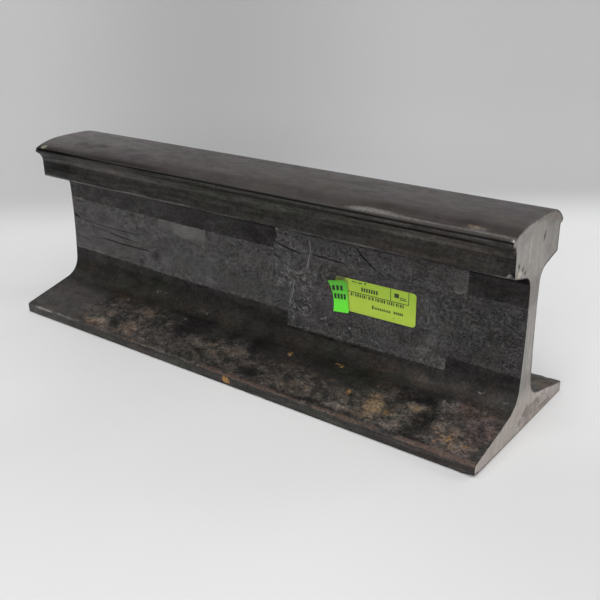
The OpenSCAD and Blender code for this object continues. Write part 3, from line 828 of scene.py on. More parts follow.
    # lighter, darker, warmer and cooler patches of the foot
    foot_paint = np.zeros((n, m, 3))
    hue = 0.34 * fbm(P, (30, 24, 24), 2, seed=54) + 0.34 * fbm(P, (8, 7, 7), 2, seed=72) * is_in("foot", "fillet_low")
    wx = X + 5.5 * fbm(P, 15, 3, seed=50)
    wy = Y + 4.0 * fbm(P, 13, 3, seed=51)
    for x, y, rx, ry, light, warm, violet in FOOT_PATCHES:
        g = np.exp(-(((wx - x) / rx) ** 2 + ((wy - y) / ry) ** 2) ** 1.4)
        foot_paint += g[..., None] * np.array([light, warm, violet])
    foot_paint *= (is_in("foot", "round_top", "fillet_low") * front)[..., None]
    behind = is_in("foot", "round_top", "fillet_low") * (~front)
    foot_paint[..., 0] += behind * 0.9 * fbm(P, (34, 20, 20), 3, seed=52)
    foot_paint[..., 1] += behind * smooth(fbm(P, (30, 16, 16), 2, seed=53), 0.1, 0.4)
    foot_paint[..., 1] *= np.where(behind, 0.45, 1.0)
    foot_paint[..., 0] += 0.35 * behind
    foot_paint[..., 0] = 0.5 + 0.5 * np.clip(foot_paint[..., 0], -0.95, 0.95)
    side_face = is_in("side", "hollow") * front
    hue = hue + side_face * np.interp(X, [-218, -196, -188, -174, -168, -156, -150, -134, -126, 218],
                                      [0.3, 0.25, -0.3, -0.2, 0.25, 0.2, 0.15, 0.1, -0.45, -0.45])
    hue = hue + is_in("web", "fillet_high") * front * (0.22 - 0.3 * bell(Z, 50, 8) * smooth(X, -110, -60)
                                                       * smooth(X, 30, 0))
    hue = hue - 0.45 * is_in("fillet_low", "foot") * front * smooth(u, 36, 22) * smooth(X, 170, 100)
    hue = hue + run * 0.9 * fbm(P, (34, 15, 15), 2, seed=68) - 0.30 * is_in("edge", "round_low") * front
    foot_paint[..., 2] = 0.5 + 0.5 * np.clip(hue + foot_paint[..., 2], -1, 1)
    foot_paint = np.clip(foot_paint, 0, 1)
    # bare metal rubbed along the lip
    lip_top = front * is_in("shoulder", "bead")
    wide = 1.4 + 1.2 * bell(X, 124, 22) + 0.5 * bell(X, 212, 12)
    streak = smooth(X + 3 * noise(P, (9, 6, 6), 65), 92, 112) * bell(
        Y, -35.7 + 0.9 * bell(X, 124, 22) + 0.5 * bell(X, 205, 16), wide)
    streak = streak * (0.62 + 0.26 * smooth(X, 160, 120) + 0.12 * noise(P, (14, 40, 40), 61))
    bronze = bell(X, 193, 9) * bell(Y, -33.0, 3.2) * 0.60
    marks[..., 1] = np.clip(lip_top * np.maximum(streak, bronze) * smooth(Z, 142.3, 143.0), 0, 1)
    marks[..., 1] = np.maximum(marks[..., 1], 0.55 * chip)
    # painted highlight: a bright spot at the lip's right-hand end
    marks[..., 1] = np.maximum(marks[..., 1], lip_top * bell(X, 218, 1.6) * bell(Z, 142.6, 1.2))
    wear_and_light[..., 1] = np.maximum(wear_and_light[..., 1], lip_top * bell(X, 192, 9) * bell(Y, -32.4, 3.0) * 0.84)
    # painted highlight: the head's lower corner, which faces the bright floor, is painted as bright bare metal,
    # strongest towards the left-hand end
    low_corner = is_in("corner") * front
    corner_glint = np.interp(X, [-218, -165, -135, -105, -70, -30, 0, 45], [
        0.60, 0.62, 0.54, 0.50, 0.52, 0.50, 0.42, 0.31]) * (0.92 + 0.25 * noise(P, (18, 40, 40), 62))
    corner_glint = np.maximum(corner_glint, 0.36 * smooth(X, 203, 209))
    marks[..., 1] = np.maximum(marks[..., 1], low_corner * np.clip(corner_glint, 0, 1))
    # pale paint and dust. Painted highlights: the pale spot near the right-hand end of the head's lower corner, and
    # two near-white glints, at the lip's right-hand end and on that corner
    marks[..., 2] = np.maximum(lip_top * spot(-211, -35.5, 4.0, 3.0, 1.0),
                               front * spot(215.0, -33.0, 0.7, 3, 0.5, 119.6, 0.9))
    marks[..., 1] = np.maximum(marks[..., 1], lip_top * spot(218.3, -37.8, 1.0, 1.9, 1.9, 142.9, 1.3))
    marks[..., 1] = np.maximum(marks[..., 1], front * spot(215.2, -33.0, 1.0, 3, 1.6, 119.8, 1.3))
    wear_and_light[..., 0] = 0.55 * side_face * smooth(X, 215.6, 218.0) * band(Z, 135.4, 2.6)
    for x, z, rx, rz, top in ((-176, 122.3, 7, 1.6, 0.62), (-162, 129.0, 9, 2.2, 0.52), (-196, 131, 5, 1.6, 0.35)):
        wear_and_light[..., 0] = np.maximum(wear_and_light[..., 0], side_face * spot(x, -33, rx, 9, top, z, rz))
    low_front = front * is_in("foot", "round_top", "fillet_low")
    for x, y, rx, ry, top in ((93.5, -39, 3.8, 3.0, 0.80), (126.5, -30.5, 2.8, 2.6, 0.76), (118, -17, 5, 2.6, 0.56),
                              (22, -64.5, 3.2, 2.4, 0.76), (137, -27, 3.0, 3.0, 0.48), (188, -41, 5, 4, 0.42),
                              (151, -15.5, 9, 2.6, 0.50), (176, -14, 8, 2.4, 0.44), (205, -33, 8, 6, 0.36),
                              (146, -22, 5, 2.6, 0.46), (-104, -26, 5, 3, 0.44), (-150, -26, 8, 3.5, 0.42),
                              (-12, -63, 7, 2.2, 0.46), (63, -50, 8, 4, 0.36), (176, -57, 5, 5, 0.36)):
        wear_and_light[..., 0] = np.maximum(wear_and_light[..., 0], low_front * spot(x, y, rx, ry, top))
    for x, y, rx, ry, top in ((47.6, -29.0, 1.8, 2.2, 0.60), (91.8, -24.4, 1.7, 1.7, 0.60),
                              (101, -22.6, 2.0, 1.7, 0.54), (98, -27.5, 1.7, 1.7, 0.46), (75, -23.4, 1.8, 1.7, 0.46),
                              (53, -35.5, 1.7, 2.6, 0.46), (80, -33, 1.7, 1.7, 0.40), (95, -39.5, 1.7, 1.7, 0.52),
                              (112.5, -46.2, 1.7, 1.7, 0.58), (140, -34, 1.7, 1.7, 0.46), (168, -21.5, 1.8, 1.7, 0.46),
                              (203, -22, 2.6, 1.7, 0.50), (62, -29.5, 1.7, 1.7, 0.38), (66, -22, 2, 1.7, 0.40),
                              (153, -15.5, 4.5, 1.8, 0.44), (146, -16.5, 2.5, 1.8, 0.40)):
        marks[..., 2] = np.maximum(marks[..., 2], low_front * spot(x, y, rx, ry, top))
    for x, y, rx, ry, top in ((-108, -12.4, 4.6, 1.8, 0.31), (-62, -28, 1.9, 1.8, 0.55), (-132, -27, 2.2, 1.8, 0.40),
                              (-100, -12.0, 2.6, 1.7, 0.26), (-116, -13.4, 3, 1.7, 0.22),
                              (194, -12.4, 4.2, 1.9, 0.29), (175, -26, 3.6, 2.6, 0.56), (183, -25.5, 3.8, 3.2, 0.64),
                              (152, -16, 6, 2.2, 0.26), (122, -17, 4, 2, 0.22), (204, -23, 4, 2, 0.30),
                              (-53, -33, 3, 2, 0.40), (-48, -16, 2.4, 1.8, 0.36), (212, -15, 6, 2.4, 0.26)):
        marks[..., 1] = np.maximum(marks[..., 1], low_front * spot(x, y, rx, ry, top))
    marks[..., 2] = np.maximum(marks[..., 2], on_foot * spot(114, -58.5, 8, 3.2, 0.50))
    marks[..., 1] = np.maximum(marks[..., 1], (0.46 - 0.03 * smooth(X, -192, -180)) * is_in("round_top", "edge")
                               * front * band(Z, 7.6, 1.0) * smooth(X, -213, -204) * smooth(X, -147, -153)
                               * (0.85 + 0.4 * noise(P, (7, 40, 40), 67)))
    # reddish line along the foot's top outer edge
    line_on = is_in("round_top", "foot", "edge") * bell(u, 66.7, 2.3) * smooth(OUT[:, 1], 5.6, 7.8)
    patchy = 0.60 + 0.55 * noise(P, (22, 60, 60), 16) + 0.30 * noise(P, (6, 60, 60), 70)
    wear_and_light[..., 0] = np.maximum(wear_and_light[..., 0], line_on * patchy * (0.62 + 0.5 * smooth(X, -20, 20))
                              * smooth(X, -190, -130))
    # lighter and darker stretches, partly the steel's own tone and partly painted light and shade
    tone_and_light = np.full((n, m), 0.5)
    tone_and_light += side_face * np.interp(X, [-212, -200, -176, -130, -118, -84, -74], [
        0, 0.18, 0.16, 0.18, 0.32, 0.32, 0]) * band(Z, 132.8, 1.9) * (0.9 + 0.5 * noise(P, (14, 40, 40), 63))
    tone_and_light -= side_face * 0.035 * smooth(X, 40, 80) * smooth(X, 150, 120)
    tone_and_light -= side_face * 0.12 * smooth(X, 207, 214)
    tone_and_light -= side_face * 0.12 * bell(X, -186, 14) * bell(Z, 127.5, 4)
    tone_and_light -= side_face * 0.03 * bell(X, 95, 40)
    # painted shade: the rolled edge, where it falls away from the light, is darker towards the left-hand end, as is
    # the front of the crown there
    roll = front * is_in("shoulder", "bead") * smooth(u, 30.5, 37.0)
    tone_and_light -= roll * np.clip(0.20 + 0.11 * noise(P, (22, 60, 60), 66), 0, 1) * smooth(X, -20, -120)
    tone_and_light -= 0.07 * run * front * smooth(u, 24, 33) * smooth(X, -60, -150)
    # painted light from the bright floor on the down-facing band near the top of the side
    tone_and_light += side_face * 0.04 * band(Z, 138.9, 1.5) * (0.6 + 0.8 * smooth(X, 30, -60))
    tone_and_light -= side_face * 0.04 * band(Z, 124, 6)
    tone_and_light += side_face * 0.10 * fbm(P, (34, 60, 2.8), 3, seed=71) * (0.35 + 0.65 * smooth(X, -40, -120))
    tone_and_light -= side_face * 0.12 * smooth(X, -172, -196)
    tone_and_light += (0.17 + 0.15 * smooth(X, -140, -170) + 0.04 * bell(X, -70, 60)) * is_in(
        "edge", "round_low", "round_top")
    tone_and_light += 0.14 * is_in("round_top", "edge") * front * bell(u, 67.7, 0.9) * (
        1.9 * smooth(X, -212, -205) * smooth(X, -146, -150)
        + 0.6 * smooth(noise(P, (26, 80, 80), 64), 0.1, 0.5) * smooth(X, -148, -140))
    smooth_end = is_in("foot", "fillet_low") * front * smooth(X, -150, -166)
    tone_and_light += 0.26 * smooth_end * smooth(u, 22, 34)
    tone_and_light += 0.085 * is_in("web", "fillet_high") * front * smooth(X, -60, -180)
    tone_and_light -= 0.03 * is_in("web", "fillet_high") * front * bell(X, -12, 30) * smooth(Z, 92, 97)
    tone_and_light -= 0.07 * is_in("web", "fillet_low") * front * smooth(X, -40, 20) * smooth(X, 31, 29) * smooth(
        Z, 27.4, 28.4)
    tone_and_light -= (0.06 + 0.07 * bell(Z, 33, 5)) * is_in("web", "fillet_low") * front * smooth(
        X, 164, 167) * smooth(Z, 28.5, 30.5)
    tone_and_light -= 0.06 * is_in("web", "fillet_high") * front * smooth(X, 165, 185)
    tone_and_light += 0.05 * is_in("web", "fillet_high") * front * bell(X, -42, 12) * smooth(Z, 99, 103)
    under_strip = is_in("web", "fillet_low") * front * smooth(Z, 45, 42.5) * smooth(Z, 28.5, 31)
    tone_and_light -= under_strip * (0.065 * smooth(X, -20, -60) + 0.07 * smooth(X, -110, -160) * smooth(Z, 35, 39))
    tone_and_light += is_in("fillet_low") * front * (0.05 * smooth(Z, 30, 27) * bell(X, -50, 40) + 0.06 * smooth(
        Z, 25.5, 22.5) * (bell(X, -50, 40) + smooth(X, -130, -205)))
    tone_and_light += 0.045 * is_in("web", "fillet_high") * front * smooth(Z, 90, 94) * smooth(X, -5, -30)
    inner_foot = is_in("foot", "fillet_low") * front * smooth(u, 36, 20)
    tone_and_light -= inner_foot * np.interp(X, [-218, -120, -60, 20, 100, 150, 218], [0.05, 0.06, 0.11, 0.13, 0.08, 0, 0])
    foot_paint[..., 1] = np.clip(foot_paint[..., 1] + 0.45 * on_foot * bell(u, 63.5, 2.6) * smooth(
        X, -208, -190) * smooth(X, -120, -150), 0, 1)
    # painted highlight along the foot's fillet beside the web, towards the right-hand end
    tone_and_light += 0.09 * is_in("foot", "fillet_low") * front * bell(u, 15.5, 3.2) * smooth(X, 120, 165)
    tone_and_light += 0.105 * is_in("foot") * front * smooth(X, 165, 190)
    tone_and_light += 0.085 * is_in("foot") * front * smooth(X, 95, 140) * smooth(u, 40, 56)
    tone_and_light += 0.080 * is_in("foot") * front * smooth(X, -80, -120) * smooth(u, 40, 54)
    tone_and_light -= 0.06 * is_in("foot") * front * bell(X, 5, 60) * smooth(u, 30, 40)
    # soft smudges on the running surface
    for x, y, rx, ry, k in ((-178, -20, 7, 4, -0.22), (-156, -17, 8, 4, -0.24), (-126, -16, 7, 4, -0.20), (-166, -24, 6, 3, -0.18),
                            (-106, -22, 7, 4, -0.14), (-146, -30, 9, 4, -0.08), (-198, -8, 8, 5, -0.05),
                            (-190, -27, 8, 4, 0.05), (-165, -6, 16, 6, 0.05), (-40, -12, 10, 5, -0.06),
                            (186, -20, 6, 12, -0.08), (128, -26, 16, 4, -0.07), (60, -30, 26, 5, -0.05),
                            (30, 2, 20, 8, 0.04), (150, -5, 24, 8, 0.04)):
        tone_and_light += run * spot(x, y, rx, ry, k)
    tone_and_light += run * 0.075 * smooth(X, -60, -190)
    # painted shade along the front of the crown, where it falls away towards the lip
    tone_and_light -= run * front * smooth(u, 22, 30) * np.interp(X, [-150, -110, -85, -20, 10, 40, 88, 112, 140, 170, 190], [
        0, 0.065, 0.085, 0.11, 0.08, 0.045, 0.035, 0.09, 0.065, 0.09, 0.12])
    tone_and_light += run * 0.06 * smooth(X, -180, -205) * smooth(u, 28, 20)
    # painted light: the rolled lip's hollow and the top of the side, which face down towards the bright floor, are
    # paler than the rest
    tone_and_light += is_in("hollow", "bead") * front * np.interp(
        X, [-218, -185, -160, -135, -110, -85, -60, 0, 12, 38, 62, 88, 112, 138, 162, 188, 205],
        [0.24, 0.05, 0.20, 0.33, 0.36, 0.18, 0.09, 0.12, 0.18, 0.13, 0.16, 0.26, 0.18, 0.34, 0.34, 0.28, 0.20])
    tone_and_light += side_face * band(Z, 137.6, 1.8) * (0.09 * smooth(X, -40, 0) - 0.04 * smooth(X, 55, 80) + 0.12 * smooth(X, -85, -105))
    tone_and_light -= side_face * band(Z, 127.0, 5.5) * (0.03 + 0.11 * bell(X, -168, 30)) * smooth(X, 10, -20)
    tone_and_light += run * 0.035 * fbm(P, (26, 12, 12), 3, seed=69)
    tone_and_light -= 0.07 * side_face * smooth(X, -140, -165) * smooth(Z, 134, 137)
    wear_and_light[..., 2] = np.clip(tone_and_light, 0, 1)
    # how streaked, mottled and speckled each face is
    grain = np.zeros((n, m, 3))
    grain[:] = (0.40, 0.45, 0.45)
    for names, k in ((("side", "hollow", "bead"), (0.50, 0.30, 0.45)),
                     (("web", "fillet_high", "under"), (0.10, 0.54, 0.44)),
                     (("fillet_low", "foot"), (0.08, 0.44, 0.46))):
        grain[:, is_in(*names) & front] = k
    attributes = {"zone": [zone.reshape(-1, 3)], "marks": [marks.reshape(-1, 3)],
                  "grain": [grain.reshape(-1, 3)],
                  "wear_and_light": [wear_and_light.reshape(-1, 3)], "foot": [foot_paint.reshape(-1, 3)],
                  "face": [np.zeros((n * m, 3))]}
    # sawn ends
    base = n * m
    for end, ring in ((-1, 0), (1, n - 1)):
        edge_pts = np.stack([Y[ring], Z[ring]], -1)
        pts, tris = fill_section(edge_pts, seed=20 + ring)
        count = len(pts) - m
        inner = pts[m:]
        q = np.c_[np.full(count, end * HALF_L), inner]
        groove = 0.045 * (1 + noise(q, (40, 1.1, 30), 21)) + 0.03 * (1 + noise(q, (40, 3.1, 80), 22))
        groove += 0.02 * (1 + noise(q, 9, 23))
        zz = grind(q[:, 0], q[:, 1], q[:, 2]) if end > 0 else q[:, 2]
        verts.append(np.c_[end * (HALF_L - groove), q[:, 1], zz])
        start = ring * m
        for t in tris:
            ids = [int(start + v) if v < m else int(base + v - m) for v in t]
            faces.append(tuple(ids if end > 0 else ids[::-1]))
            index.append(1)
        base += count
        for key in ("zone", "marks", "grain"):
            attributes[key].append(np.zeros((count, 3)))
        iy, iz = inner[:, 0], inner[:, 1]
        shade = 0.5 * (1 + 0.22 * smooth(iz, 32, 20) + 0.14 * smooth(iz, 32, 20) * smooth(iy, 0, 25)
                       + 0.10 * smooth(iz, 38, 55) * smooth(iz, 112, 95)
                       - 0.14 * smooth(iz, 128, 143) - 0.12 * smooth(iz, 136, 142) * smooth(iy, 4, 14) - 0.24 * smooth(iz, 108, 120) * smooth(iy, 6, 20)
                       - 0.36 * smooth(iz, 89.4, 91.6) * smooth(iz, 116, 103)
                       - 0.20 * smooth(iz, 44, 41.5) * smooth(iz, 27, 34))
        attributes["wear_and_light"].append(np.c_[iy * 0, iy * 0, shade])
        blob = np.exp(-((iy + 25.8) / 3.2) ** 2 - ((iz - 119.0) / 3.2) ** 2) if end > 0 else iy * 0
        green = np.exp(-(clearance(inner, edge_pts) / 6.0) ** 2) * smooth(iy, 3, -3) * smooth(iz, 45, 40)
        attributes["foot"].append(np.c_[0.8 * smooth(iz, 44, 20), blob, green * smooth(iy, -52, -40)])
        attributes["face"].append(face_marks(inner, edge_pts, end))
        attributes["face"][0][start:start + m] = (0.3, 0, 0.95)
    verts = np.concatenate(verts) * MM
    rail = mesh_object("rail_steel", verts, faces, [SKIN, FACE], index=index, sharp=38)
    for key, parts in attributes.items():
        paint(rail, key, np.concatenate(parts))
    return rail


def fill_section(edge, seed):
    """Triangles inside a closed outline, with grid points closer across Y than along Z."""
    rng = np.random.default_rng(seed)
    ys = np.arange(-HALF_FOOT, HALF_FOOT, 1.05)
    zs = np.arange(0.6, HEIGHT, 2.6)
    g = np.array([(y, z + (1.3 if i % 2 else 0)) for i, y in enumerate(ys) for z in zs])
    g = g + rng.uniform(-0.2, 0.2, g.shape)
    keep = inside(g, edge) & (clearance(g, edge) > 0.6)
    pts = np.concatenate([edge, g[keep]])
    m = len(edge)
    loop = [(i, (i + 1) % m) for i in range(m)]
    out = delaunay_2d_cdt([Vector(p) for p in pts], loop, [], 0, 1e-6)
    co, tris, orig = np.array([tuple(v) for v in out[0]]), out[2], out[3]
    back = {i: (o[0] if o else None) for i, o in enumerate(orig)}
    tri = np.array([[back[v] for v in t] for t in tris])
    mid = pts[tri].mean(1)
    tri = tri[inside(mid, edge)]
    a, b, c = pts[tri[:, 0]], pts[tri[:, 1]], pts[tri[:, 2]]
    area = (b[:, 0] - a[:, 0]) * (c[:, 1] - a[:, 1]) - (b[:, 1] - a[:, 1]) * (c[:, 0] - a[:, 0])
    tri[area < 0] = tri[area < 0][:, ::-1]
    return pts, tri


def inside(p, poly):
    x, y = p[:, 0][:, None], p[:, 1][:, None]
    a, b = poly, np.roll(poly, -1, 0)
    cross = (a[:, 1] > y) != (b[:, 1] > y)
    dy = np.where(b[:, 1] == a[:, 1], 1e-12, b[:, 1] - a[:, 1])
    at = (b[:, 0] - a[:, 0]) * (y - a[:, 1]) / dy + a[:, 0]
    return (np.sum(cross & (x < at), 1) % 2) == 1


def clearance(p, poly):
    """Distance of each point from an outline."""
    a, b = poly, np.roll(poly, -1, 0)
    best = np.full(len(p), 1e9)
    for s, e in zip(a, b):
        v = e - s
        t = np.clip(((p - s) @ v) / max(v @ v, 1e-12), 0, 1)
        best = np.minimum(best, np.linalg.norm(p - s - t[:, None] * v, axis=1))
    return best


def face_marks(p, edge, end):
    y, z = p[:, 0], p[:, 1]
    brown = (0.66 - 0.14 * smooth(y, 22, 34)) * smooth(y, -6, 6) * smooth(z, 17, 12.5) * (end > 0)
    brown = np.maximum(brown, 0.62 * np.exp(-clearance(p, edge) / 2.2) * smooth(y, -22, -28) * smooth(z, 6, 9))
    for cy, cz, ry, rz, k in ((20, 9.5, 13, 3.4, 0.72), (6, 11.5, 7, 4.5, 0.95), (38, 3.5, 20, 3.0, 0.85),
                              (-3, 7, 4, 3.5, 0.90),
                              (8, 16, 5, 5, 0.50), (57, 9.5, 5, 3.5, 0.45), (-8, 20, 4, 7, 0.36)):
        brown = np.maximum(brown, (end > 0) * k * np.exp(-((y - cy) / ry) ** 2 - ((z - cz) / rz) ** 2))
    near_crown = HEIGHT - z - y ** 2 / (2 * CROWN_R)
    brown = np.maximum(brown, 0.95 * smooth(y, -22, 8) * smooth(near_crown, 9.0, 1.0))
    brown = np.maximum(brown, 0.95 * np.exp(-((y - 27) / 12) ** 2 - ((z - 143) / 5.5) ** 2))
    brown = np.maximum(brown, 0.35 * smooth(y, 8, 30) * smooth(z, 112, 125))
    brown = np.maximum(brown, 0.62 * np.exp(-((y + 28) / 5.5) ** 2 - ((z - 120) / 3.5) ** 2))
    brown = np.maximum(brown, 0.95 * smooth(y, -36.2, -37.8) * smooth(z, 134, 136))
    brown = np.maximum(brown, 0.90 * smooth(y, 32.5, 34.5) * smooth(z, 130, 134))
    brown = np.maximum(brown, 0.80 * np.exp(-np.maximum(clearance(p, edge) - 0.8, 0) / 1.0) * (y > 12) * (z > 113))
    if end < 0:
        brown = np.maximum(brown, 0.7 * np.exp(-((y + 30) / 24) ** 2 - ((z - 8) / 9) ** 2))
    dark = 0.88 * np.exp(-((y - 8.6 - 0.25 * (z - 134)) / 2.4) ** 2 - ((z - 134) / 5.2) ** 2) * (end > 0)
    dark = np.maximum(dark, 0.7 * np.exp(-((y - 7.5) / 1.5) ** 2 - ((z - 15) / 4) ** 2))
    if end > 0:
        for cy, cz, ry, rz in ((-27.6, 124.4, 2.0, 2.4), (-21.2, 120.8, 1.6, 3.0), (-17.6, 117.2, 1.8, 2.2),
                               (-30.4, 117.6, 1.6, 2.4), (3.0, 6.4, 1.4, 1.0)):
            dark = np.maximum(dark, 0.95 * np.exp(-((y - cy) / ry) ** 2 - ((z - cz) / rz) ** 2))
    top, back = (z > 134) & (y > -36), (z > 113) & (y > 12)
    rim = np.exp(-np.maximum(clearance(p, edge) - np.where(top | back, 0.7, 0.0), 0) / np.where(
        top | back, 1.1, 0.9))
    return np.c_[brown, dark, rim]


rail = build_rail()
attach(rail, "root")
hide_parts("rail")
print("rail triangles", sum(len(p.vertices) - 2 for p in rail.data.polygons))


# ---------------------------------------------------------------- tape
def strip_low(x):
    return np.interp(x, [-HALF_L, -110, -60, HALF_L], [45.66, 43.6, 42.75, 42.75])


def strip_high(x):
    return np.interp(x, [-HALF_L, -190, -60, HALF_L], [93.7, 92.1, 90.7, 90.45])


def film_height(p, h, seed):
    """Height of the film above the steel, mm: bonded, with slight waves."""
    return h - 0.02 * (1 + fbm(p, (6, 6, 10), 2, seed=seed)) * 0.5


def grid_faces(rows, cols, start=0, closed=False):
    out = []
    last = cols if closed else cols - 1
    for i in range(rows - 1):
        for j in range(last):
            k = (j + 1) % cols
            out.append((start + i * cols + j, start + i * cols + k,
                        start + (i + 1) * cols + k, start + (i + 1) * cols + j))
    return out


class Film:
    """Collects film surfaces and folds of one strip of tape."""

    def __init__(self):
        self.v, self.f, self.m, self.a = [], [], [], []
        self.count = 0

    def add(self, verts, faces, material, film):
        self.v.append(np.asarray(verts, float))
        self.f += [tuple(int(i) + self.count for i in q) for q in faces]
        self.m += [material] * len(faces)
        self.a.append(np.asarray(film, float))
        self.count += len(verts)

    def ridge(self, points, width, height, base, dark=1.0, glow=0.0):
        """A narrow pinched fold that runs through points (X, Z) on the front of the web."""
        pts = np.asarray(points, float)
        s = np.r_[0, np.cumsum(np.linalg.norm(np.diff(pts, axis=0), axis=1))]
        t = np.linspace(0, s[-1], max(8, int(s[-1] / 0.8)))
        p = np.c_[np.interp(t, s, pts[:, 0]), np.interp(t, s, pts[:, 1])]
        for _ in range(6):
            p[1:-1] = 0.25 * p[:-2] + 0.5 * p[1:-1] + 0.25 * p[2:]
        q3 = np.c_[p[:, 0], p[:, 1] * 0, p[:, 1]]
        p[:, 1] += 0.18 * noise(q3, 5, 70)
        d = np.gradient(p, axis=0)
        d /= np.linalg.norm(d, axis=1)[:, None]
        n = np.c_[-d[:, 1], d[:, 0]]
        taper = np.sin(np.pi * np.clip(t / s[-1], 0, 1)) ** 0.28
        taper = taper * (0.86 + 0.16 * noise(q3, 7, 71))
        taper = np.clip(taper, 0.03, 1.2)
        across = [(-0.5, 0.0), (-0.22, 0.6), (0.0, 1.0), (0.22, 0.6), (0.5, 0.0)]
        rows, film = [], []
        for k, up in across:
            q = p + n * (k * width * taper)[:, None]
            y = -(skin(q[:, 1]) + base + 0.01 + up * height * taper)
            rows.append(np.c_[q[:, 0], y, q[:, 1]])
            solid = np.where(np.abs(k) > 0.4, 0.25, 1.0) * np.ones(len(p)) * np.clip(taper * 1.4, 0, 1)
            # dark sets how much painted fold shadow a fold shows, glow how much painted highlight
            film.append(np.c_[solid * dark, np.full(len(p), glow), solid * 0])
        v = np.concatenate(rows)
        faces = [q[::-1] for q in grid_faces(5, len(p))]
        self.add(v, faces, 1, np.concatenate(film))

    def crumple(self, places, h, seed):
        """Short pale creases, their paleness a painted highlight, scattered round places (X, Z, reach X, reach Z,
        number).
        """
        rng = np.random.default_rng(seed)
        for cx, cz, rx, rz, number in places:
            for _ in range(number):
                x, z = cx + rx * rng.uniform(-1, 1), cz + rz * rng.uniform(-1, 1)
                a, half, bend = rng.uniform(-1.9, 1.3), rng.uniform(0.6, 1.4), rng.uniform(-0.5, 0.5)
                dx, dz = half * math.cos(a), half * math.sin(a)
                self.ridge([(x - dx, z - dz), (x - bend * dz, z + bend * dx), (x + dx, z + dz)],
                           rng.uniform(0.65, 1.0), 0.16, h, dark=rng.uniform(0.34, 0.80), glow=0.90)

    def make(self, name, node):
        obj = mesh_object(name, np.concatenate(self.v) * MM, self.f, [FILM, RIDGE], index=self.m,
                          sharp=60)
        paint(obj, "film", np.concatenate(self.a))
        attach(obj, "root")
        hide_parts(node)
        print(name, "triangles", sum(len(p.vertices) - 2 for p in obj.data.polygons))
        return obj


def long_haze(x, z):
    """How milky the long strip looks over the web."""
    p = np.stack([x, z * 0, z], -1)
    h = 1.20 - 0.22 * smooth(x, -60, -20) - 0.38 * smooth(x, 5, 60) - 0.05 * smooth(x, 150, 200)
    edge = 1.6 * noise(p, 7, 35)
    # the last place, at (70.5, 77.3), thins the haze over the painted shade behind the tag's lifted corner
    for cx, cz, rx, rz, k in ((-140, 88.0, 5, 2.6, -0.90), (-51.0, 88.0, 3.0, 3.6, -0.90),
                              (-111.5, 57.5, 3.2, 4.4, -1.05), (-130, 48.2, 3.6, 3.0, -1.05),
                              (-148, 49.0, 4, 1.8, -0.55), (-99, 70.5, 3.4, 4.6, -0.45), (-133, 56, 3, 2, -0.3),
                              (-78, 61, 12, 3, -0.22), (-42, 66, 6, 3, -0.22), (-86, 67, 5, 2, -0.2),
                              (-23, 60, 6, 1.6, -0.35), (-190, 80, 14, 8, -0.12),
                              (-205, 49, 10, 3, 0.18), (-164, 50, 18, 3, 0.15), (-62, 47, 40, 2.5, 0.16),
                              (-60, 72, 26, 5, 0.10), (-5, 75, 20, 9, 0.12), (-20, 56, 30, 5, -0.15),
                              (-196, 46.5, 22, 3.5, 0.46), (-108, 46.5, 20, 3.5, 0.46), (70.5, 77.3, 5, 1.5, -0.9)):
        h = h + k * np.exp(-(((x - cx) / rx) ** 2 + ((z - cz) / rz) ** 2) ** (1.5 if k < -0.5 else 1.0))
    bubbly = np.exp(-((x - 40) / 22) ** 2 - ((z - 74) / 14) ** 2)
    return np.clip(h + 0.35 * bubbly, 0.1, 2.4)


def long_glow(x, z):
    """Even milky patches of the long strip, where the film has lifted."""
    p = np.stack([x, z * 0, z], -1)
    edge = 1.3 * noise(p, 6, 35) + 0.7 * noise(p, 2.5, 36)
    g = 1.44 * smooth(x + edge, -92, -86) * smooth(x + 0.5 * edge, -53.0, -55.5) * smooth(z + edge, 78.5, 81.5)
    g = g * (0.74 + 0.42 * np.exp(-((x + 77) / 11) ** 2))
    g = g + 0.74 * smooth(x, -112, -106) * smooth(x, -84, -90) * smooth(z + 0.5 * edge, 82.5, 85)
    g = g + 0.95 * np.exp(-(((x - 153.5) / 5.5) ** 2 + ((z - 51.5 + edge) / 3.0) ** 2) ** 1.5)
    return g


def speckle(x):
    """How coarse and spotted the haze is: smooth at the left, spotted from the middle on."""
    return 0.14 + 0.34 * smooth(x, -120, -40) + 0.52 * smooth(x, -5, 45) - 0.44 * smooth(x, 140, 185)


